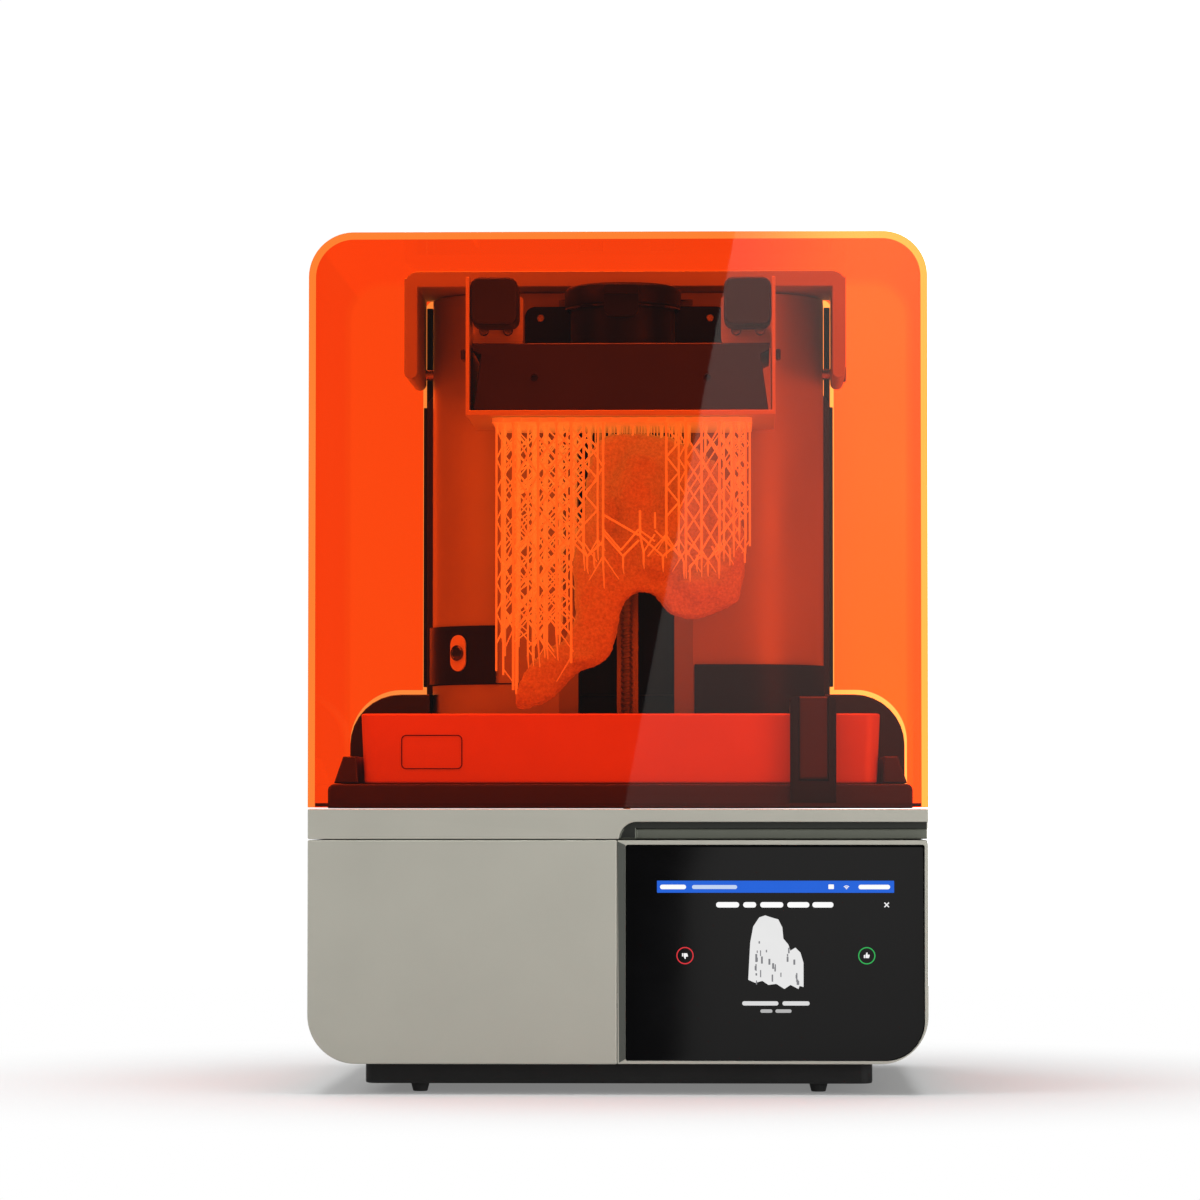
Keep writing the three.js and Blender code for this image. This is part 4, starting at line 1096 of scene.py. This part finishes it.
# a darker copy of the champagne paint for the screen recess walls: painted shade
M["recess_painted_shade"] = surface("recess_painted_shade", srgb("434640"), 0.4, 0.2, vary=0.08, grain=1800, bump=0.05)
M["satin"] = surface("satin_aluminium", srgb("D2D2D0"), 0.42, 0.25, vary=0.06, scale=60, grain=900, bump=0.1, brushed=(1, 12, 12), wear=0.2)
M["screw"] = surface("oiled_steel", srgb("7C7E80"), 0.5, 0.55, vary=0.15, scale=90, grain=900, bump=0.08)
M["deep"] = surface("deep_black", (0.004, 0.004, 0.0045), 0.42, vary=0.3, grain=1600, bump=0.15, wear=0.12, spec=0.14)
M["pale_ring"] = surface("pale_ring", (0.8, 0.8, 0.8), 0.4, vary=0.05, grain=1500, bump=0.04)
M["screen"] = surface("screen_black", (0.0012, 0.0012, 0.0015), 0.05, vary=0.3, grain=900, bump=0.0, spec=0.15)
build_cover()
build_yoke()
build_base()
build_screen()
build_tower()
build_screw()
build_tank()
build_platform()
# @@END2@@
# @@PIECES@@

# ------------------------------------------------------ every other CAD node
GENERIC = {
    "lower_housing": ("champagne", 0.7), "base_rim": ("champagne", 0.5),
    "chassis_plinth": ("plinth", 0.8),
    "foot_front_left": ("rubber", 0.5), "foot_front_right": ("rubber", 0.5),
    "foot_rear_left": ("rubber", 0.5), "foot_rear_right": ("rubber", 0.5),
    "screen_bezel": ("bezel", 0.3), "screen_glass": ("gloss", 0.2), "touch_display": ("gloss", 0.2),
    "rear_base_panel": ("black", 0.4), "power_inlet": ("black", 0.3), "switch_frame": ("black", 0.4),
    "power_switch": ("gloss", 0.4), "network_port": ("steel", 0.3), "usb_port": ("steel", 0.2),
    "fan_frame": ("black", 0.6), "fan_rotor": ("black", 0.4),
    "main_board": ("board", 0.2), "power_supply": ("alu", 0.6), "light_shroud": ("black", 0.5),
    "collimating_lens": ("film", 0.4), "led_backlight": ("white", 0.3), "heat_sink": ("alu", 0.3),
    "tray_deck": ("brown", 0.8), "lcd_mask_panel": ("gloss", 0.3), "resin_tank": ("tank", 0.9),
    "tank_film": ("film", 0.1), "tank_guide_left": ("brown", 0.5), "tank_guide_right": ("brown", 0.5),
    "mixer_bracket": ("deep", 0.6), "mixer_lever": ("brown", 0.5), "mixer_blade": ("white", 0.4),
    "tower_housing": ("grey", 0.8), "rear_housing": ("black", 0.8), "camera_band": ("deep", 0.3),
    "camera_lens": ("lens", 0.4), "heater_box": ("deep", 1.2), "linear_rail": ("steel", 0.2),
    "lead_screw": ("steel", 0.1), "motor_coupling": ("alu", 0.4), "z_motor": ("dark_grey", 0.6),
    "upper_bearing": ("alu", 0.6), "z_carriage": ("dark_grey", 0.8), "rail_block": ("steel", 0.4),
    "lead_nut": ("brass", 0.4), "platform_arm": ("dark_grey", 0.8), "platform_hub": ("black", 0.5),
    "hub_latch": ("deep", 0.4), "platform_body": ("hopper", 0.8), "platform_plate": ("satin", 0.5),
    "grip_left": ("black", 0.8), "grip_right": ("black", 0.8), "bracket_left": ("satin", 0.4),
    "bracket_right": ("satin", 0.4), "printed_model": ("resin", 0.3), "cover_shell": ("cover", 0.9),
    "hinge_yoke": ("grey", 0.8), "hinge_pin_left": ("steel", 0.3), "hinge_pin_right": ("steel", 0.3),
}
for node, (key, width) in GENERIC.items():
    if node not in done:
        from_node(node, M[key], width)

# ------------------------------------------------------------- stage and light
scene = bpy.context.scene
scene.view_settings.view_transform = "Standard"
scene.view_settings.look = "None"
world = bpy.data.worlds.new("studio")
scene.world = world
world.use_nodes = True
WN, WL = world.node_tree.nodes, world.node_tree.links
WN.clear()
wo = WN.new("ShaderNodeOutputWorld")
bgc = WN.new("ShaderNodeBackground")
bgc.inputs[0].default_value = (1, 1, 1, 1)
bgc.inputs[1].default_value = 1.02
bgl = WN.new("ShaderNodeBackground")
bgl.inputs[0].default_value = (0.96, 0.98, 1.0, 1)
bgl.inputs[1].default_value = 0.34
lp = WN.new("ShaderNodeLightPath")
wm = WN.new("ShaderNodeMixShader")
bgg = WN.new("ShaderNodeBackground")
bgg.inputs[0].default_value = (1.0, 1.0, 1.0, 1)
bgg.inputs[1].default_value = 0.19
wg = WN.new("ShaderNodeMixShader")
WL.new(lp.outputs["Is Glossy Ray"], wg.inputs[0])
WL.new(bgl.outputs[0], wg.inputs[1])
WL.new(bgg.outputs[0], wg.inputs[2])
WL.new(lp.outputs["Is Camera Ray"], wm.inputs[0])
WL.new(wg.outputs[0], wm.inputs[1])
WL.new(bgc.outputs[0], wm.inputs[2])
WL.new(wm.outputs[0], wo.inputs[0])


def stage_floor():
    m, N, L = new_material("pale_floor")
    out = N.new("ShaderNodeOutputMaterial")
    tc = N.new("ShaderNodeTexCoord")
    ln = N.new("ShaderNodeVectorMath")
    ln.operation = "LENGTH"
    L.new(tc.outputs["Object"], ln.inputs[0])
    r = N.new("ShaderNodeMapRange")
    r.interpolation_type = "SMOOTHSTEP"
    r.inputs["From Min"].default_value = 0.22
    r.inputs["From Max"].default_value = 0.62
    r.inputs["To Min"].default_value = 0.2
    L.new(ln.outputs["Value"], r.inputs["Value"])
    d = N.new("ShaderNodeBsdfDiffuse")
    d.inputs[0].default_value = (0.44, 0.44, 0.44, 1)
    e = N.new("ShaderNodeEmission")
    e.inputs[0].default_value = (1, 1, 1, 1)
    e.inputs[1].default_value = 1.0
    mx = N.new("ShaderNodeMixShader")
    L.new(r.outputs[0], mx.inputs[0])
    L.new(d.outputs[0], mx.inputs[1])
    L.new(e.outputs[0], mx.inputs[2])
    L.new(mx.outputs[0], out.inputs[0])
    pts = arc(0, 0, 9000, 0, 360, 64)[:-1]
    me = bpy.data.meshes.new("floor")
    me.from_pydata([(x * MM, y * MM, -0.0002) for x, y in pts], [], [list(range(64))])
    me.materials.append(m)
    o = link(bpy.data.objects.new("floor", me))


stage_floor()


def softbox(name, location, target, size, power, colour=(1, 1, 1), spread=180):
    d = bpy.data.lights.new(name, "AREA")
    d.shape = "RECTANGLE"
    d.size, d.size_y = size
    d.energy = power
    d.color = colour
    d.spread = math.radians(spread)
    o = link(bpy.data.objects.new(name, d))
    o.location = location
    o.rotation_mode = "QUATERNION"
    o.rotation_quaternion = (Vector(target) - Vector(location)).to_track_quat("-Z", "Y")
    o.visible_camera = False
    return o


softbox("key_left", (-2.0, -1.2, 1.5), (0, 0, 0.35), (1.4, 1.4), 26)
softbox("key_right", (1.5, -1.5, 0.15), (0.1, -0.1, 0.1), (0.9, 0.9), 18)
softbox("top", (0, -0.1, 1.9), (0, 0, 0.3), (1.3, 1.3), 55)
softbox("rear", (-0.9, 2.0, 1.1), (0, 0, 0.35), (1.2, 1.6), 22)




def streak_card():
    """A tall slanted light card behind the camera: it shows as the pale band on the right of the front faces."""
    m, N, L = new_material("card_light")
    out = N.new("ShaderNodeOutputMaterial")
    e = N.new("ShaderNodeEmission")
    e.inputs[0].default_value = (1, 0.98, 0.95, 1)
    tc = N.new("ShaderNodeTexCoord")
    sp = N.new("ShaderNodeSeparateXYZ")
    L.new(tc.outputs["Object"], sp.inputs[0])
    up = N.new("ShaderNodeMapRange")
    L.new(sp.outputs["Z"], up.inputs["Value"])
    up.inputs["From Min"].default_value = 0.2
    up.inputs["From Max"].default_value = 1.3
    up.inputs["To Min"].default_value = 0.8
    up.inputs["To Max"].default_value = 2.0
    L.new(up.outputs[0], e.inputs[1])
    L.new(e.outputs[0], out.inputs[0])
    y = -6.1835
    pts = [(-0.218, -0.19), (0.33, 2.66), (2.6, 2.66), (2.6, -0.19)]
    me = bpy.data.meshes.new("light_card")
    me.from_pydata([(x, y, z) for x, z in pts], [], [(0, 1, 2, 3)])
    me.materials.append(m)
    o = link(bpy.data.objects.new("light_card", me))
    o.visible_camera = False
    o.visible_shadow = False


streak_card()


def backdrop():
    """A white backdrop far behind that glows, painted brighter on the right: bare it stays white, and through the
    tinted cover it turns amber there.
    """
    m, N, L = new_material("backdrop_painted_glow")
    out = N.new("ShaderNodeOutputMaterial")
    e = N.new("ShaderNodeEmission")
    tc = N.new("ShaderNodeTexCoord")
    sp = N.new("ShaderNodeSeparateXYZ")
    L.new(tc.outputs["Object"], sp.inputs[0])
    r = N.new("ShaderNodeMapRange")
    r.interpolation_type = "SMOOTHSTEP"
    L.new(sp.outputs["X"], r.inputs["Value"])
    r.inputs["From Min"].default_value = 0.06
    r.inputs["From Max"].default_value = 0.2
    r.inputs["To Min"].default_value = 1.02
    r.inputs["To Max"].default_value = 2.5
    L.new(r.outputs[0], e.inputs[1])
    geo = N.new("ShaderNodeNewGeometry")
    clear = N.new("ShaderNodeBsdfTransparent")
    one = N.new("ShaderNodeMixShader")
    L.new(geo.outputs["Backfacing"], one.inputs[0])
    L.new(e.outputs[0], one.inputs[1])
    L.new(clear.outputs[0], one.inputs[2])
    L.new(one.outputs[0], out.inputs[0])
    me = bpy.data.meshes.new("backdrop")
    me.from_pydata([(-1.6, 1.2, 0.02), (1.6, 1.2, 0.02), (1.6, 1.2, 1.8), (-1.6, 1.2, 1.8)], [], [(0, 1, 2, 3)])
    me.materials.append(m)
    o = link(bpy.data.objects.new("backdrop", me))
    o.visible_diffuse = False
    o.visible_glossy = False
    o.visible_shadow = False


backdrop()


# --------------------------------------------------------------------- camera
cam = bpy.data.objects.new("camera", bpy.data.cameras.new("camera"))
link(cam)
cam.data.sensor_width = 36.0
cam.data.lens = 145.08
cam.data.shift_x = -0.02
cam.data.shift_y = 0.03
cam.data.clip_start, cam.data.clip_end = 0.05, 60
cam.location = (0.0817, YF - 3.1, 0.1813)
yaw = -0.02998 + 0.02 * 36 / 145.08
pitch = 0.04363 - 0.03 * 36 / 145.08
cam.rotation_mode = "QUATERNION"
cam.rotation_quaternion = Vector((math.tan(yaw), 1, math.tan(pitch))).to_track_quat("-Z", "Y")
scene.camera = cam
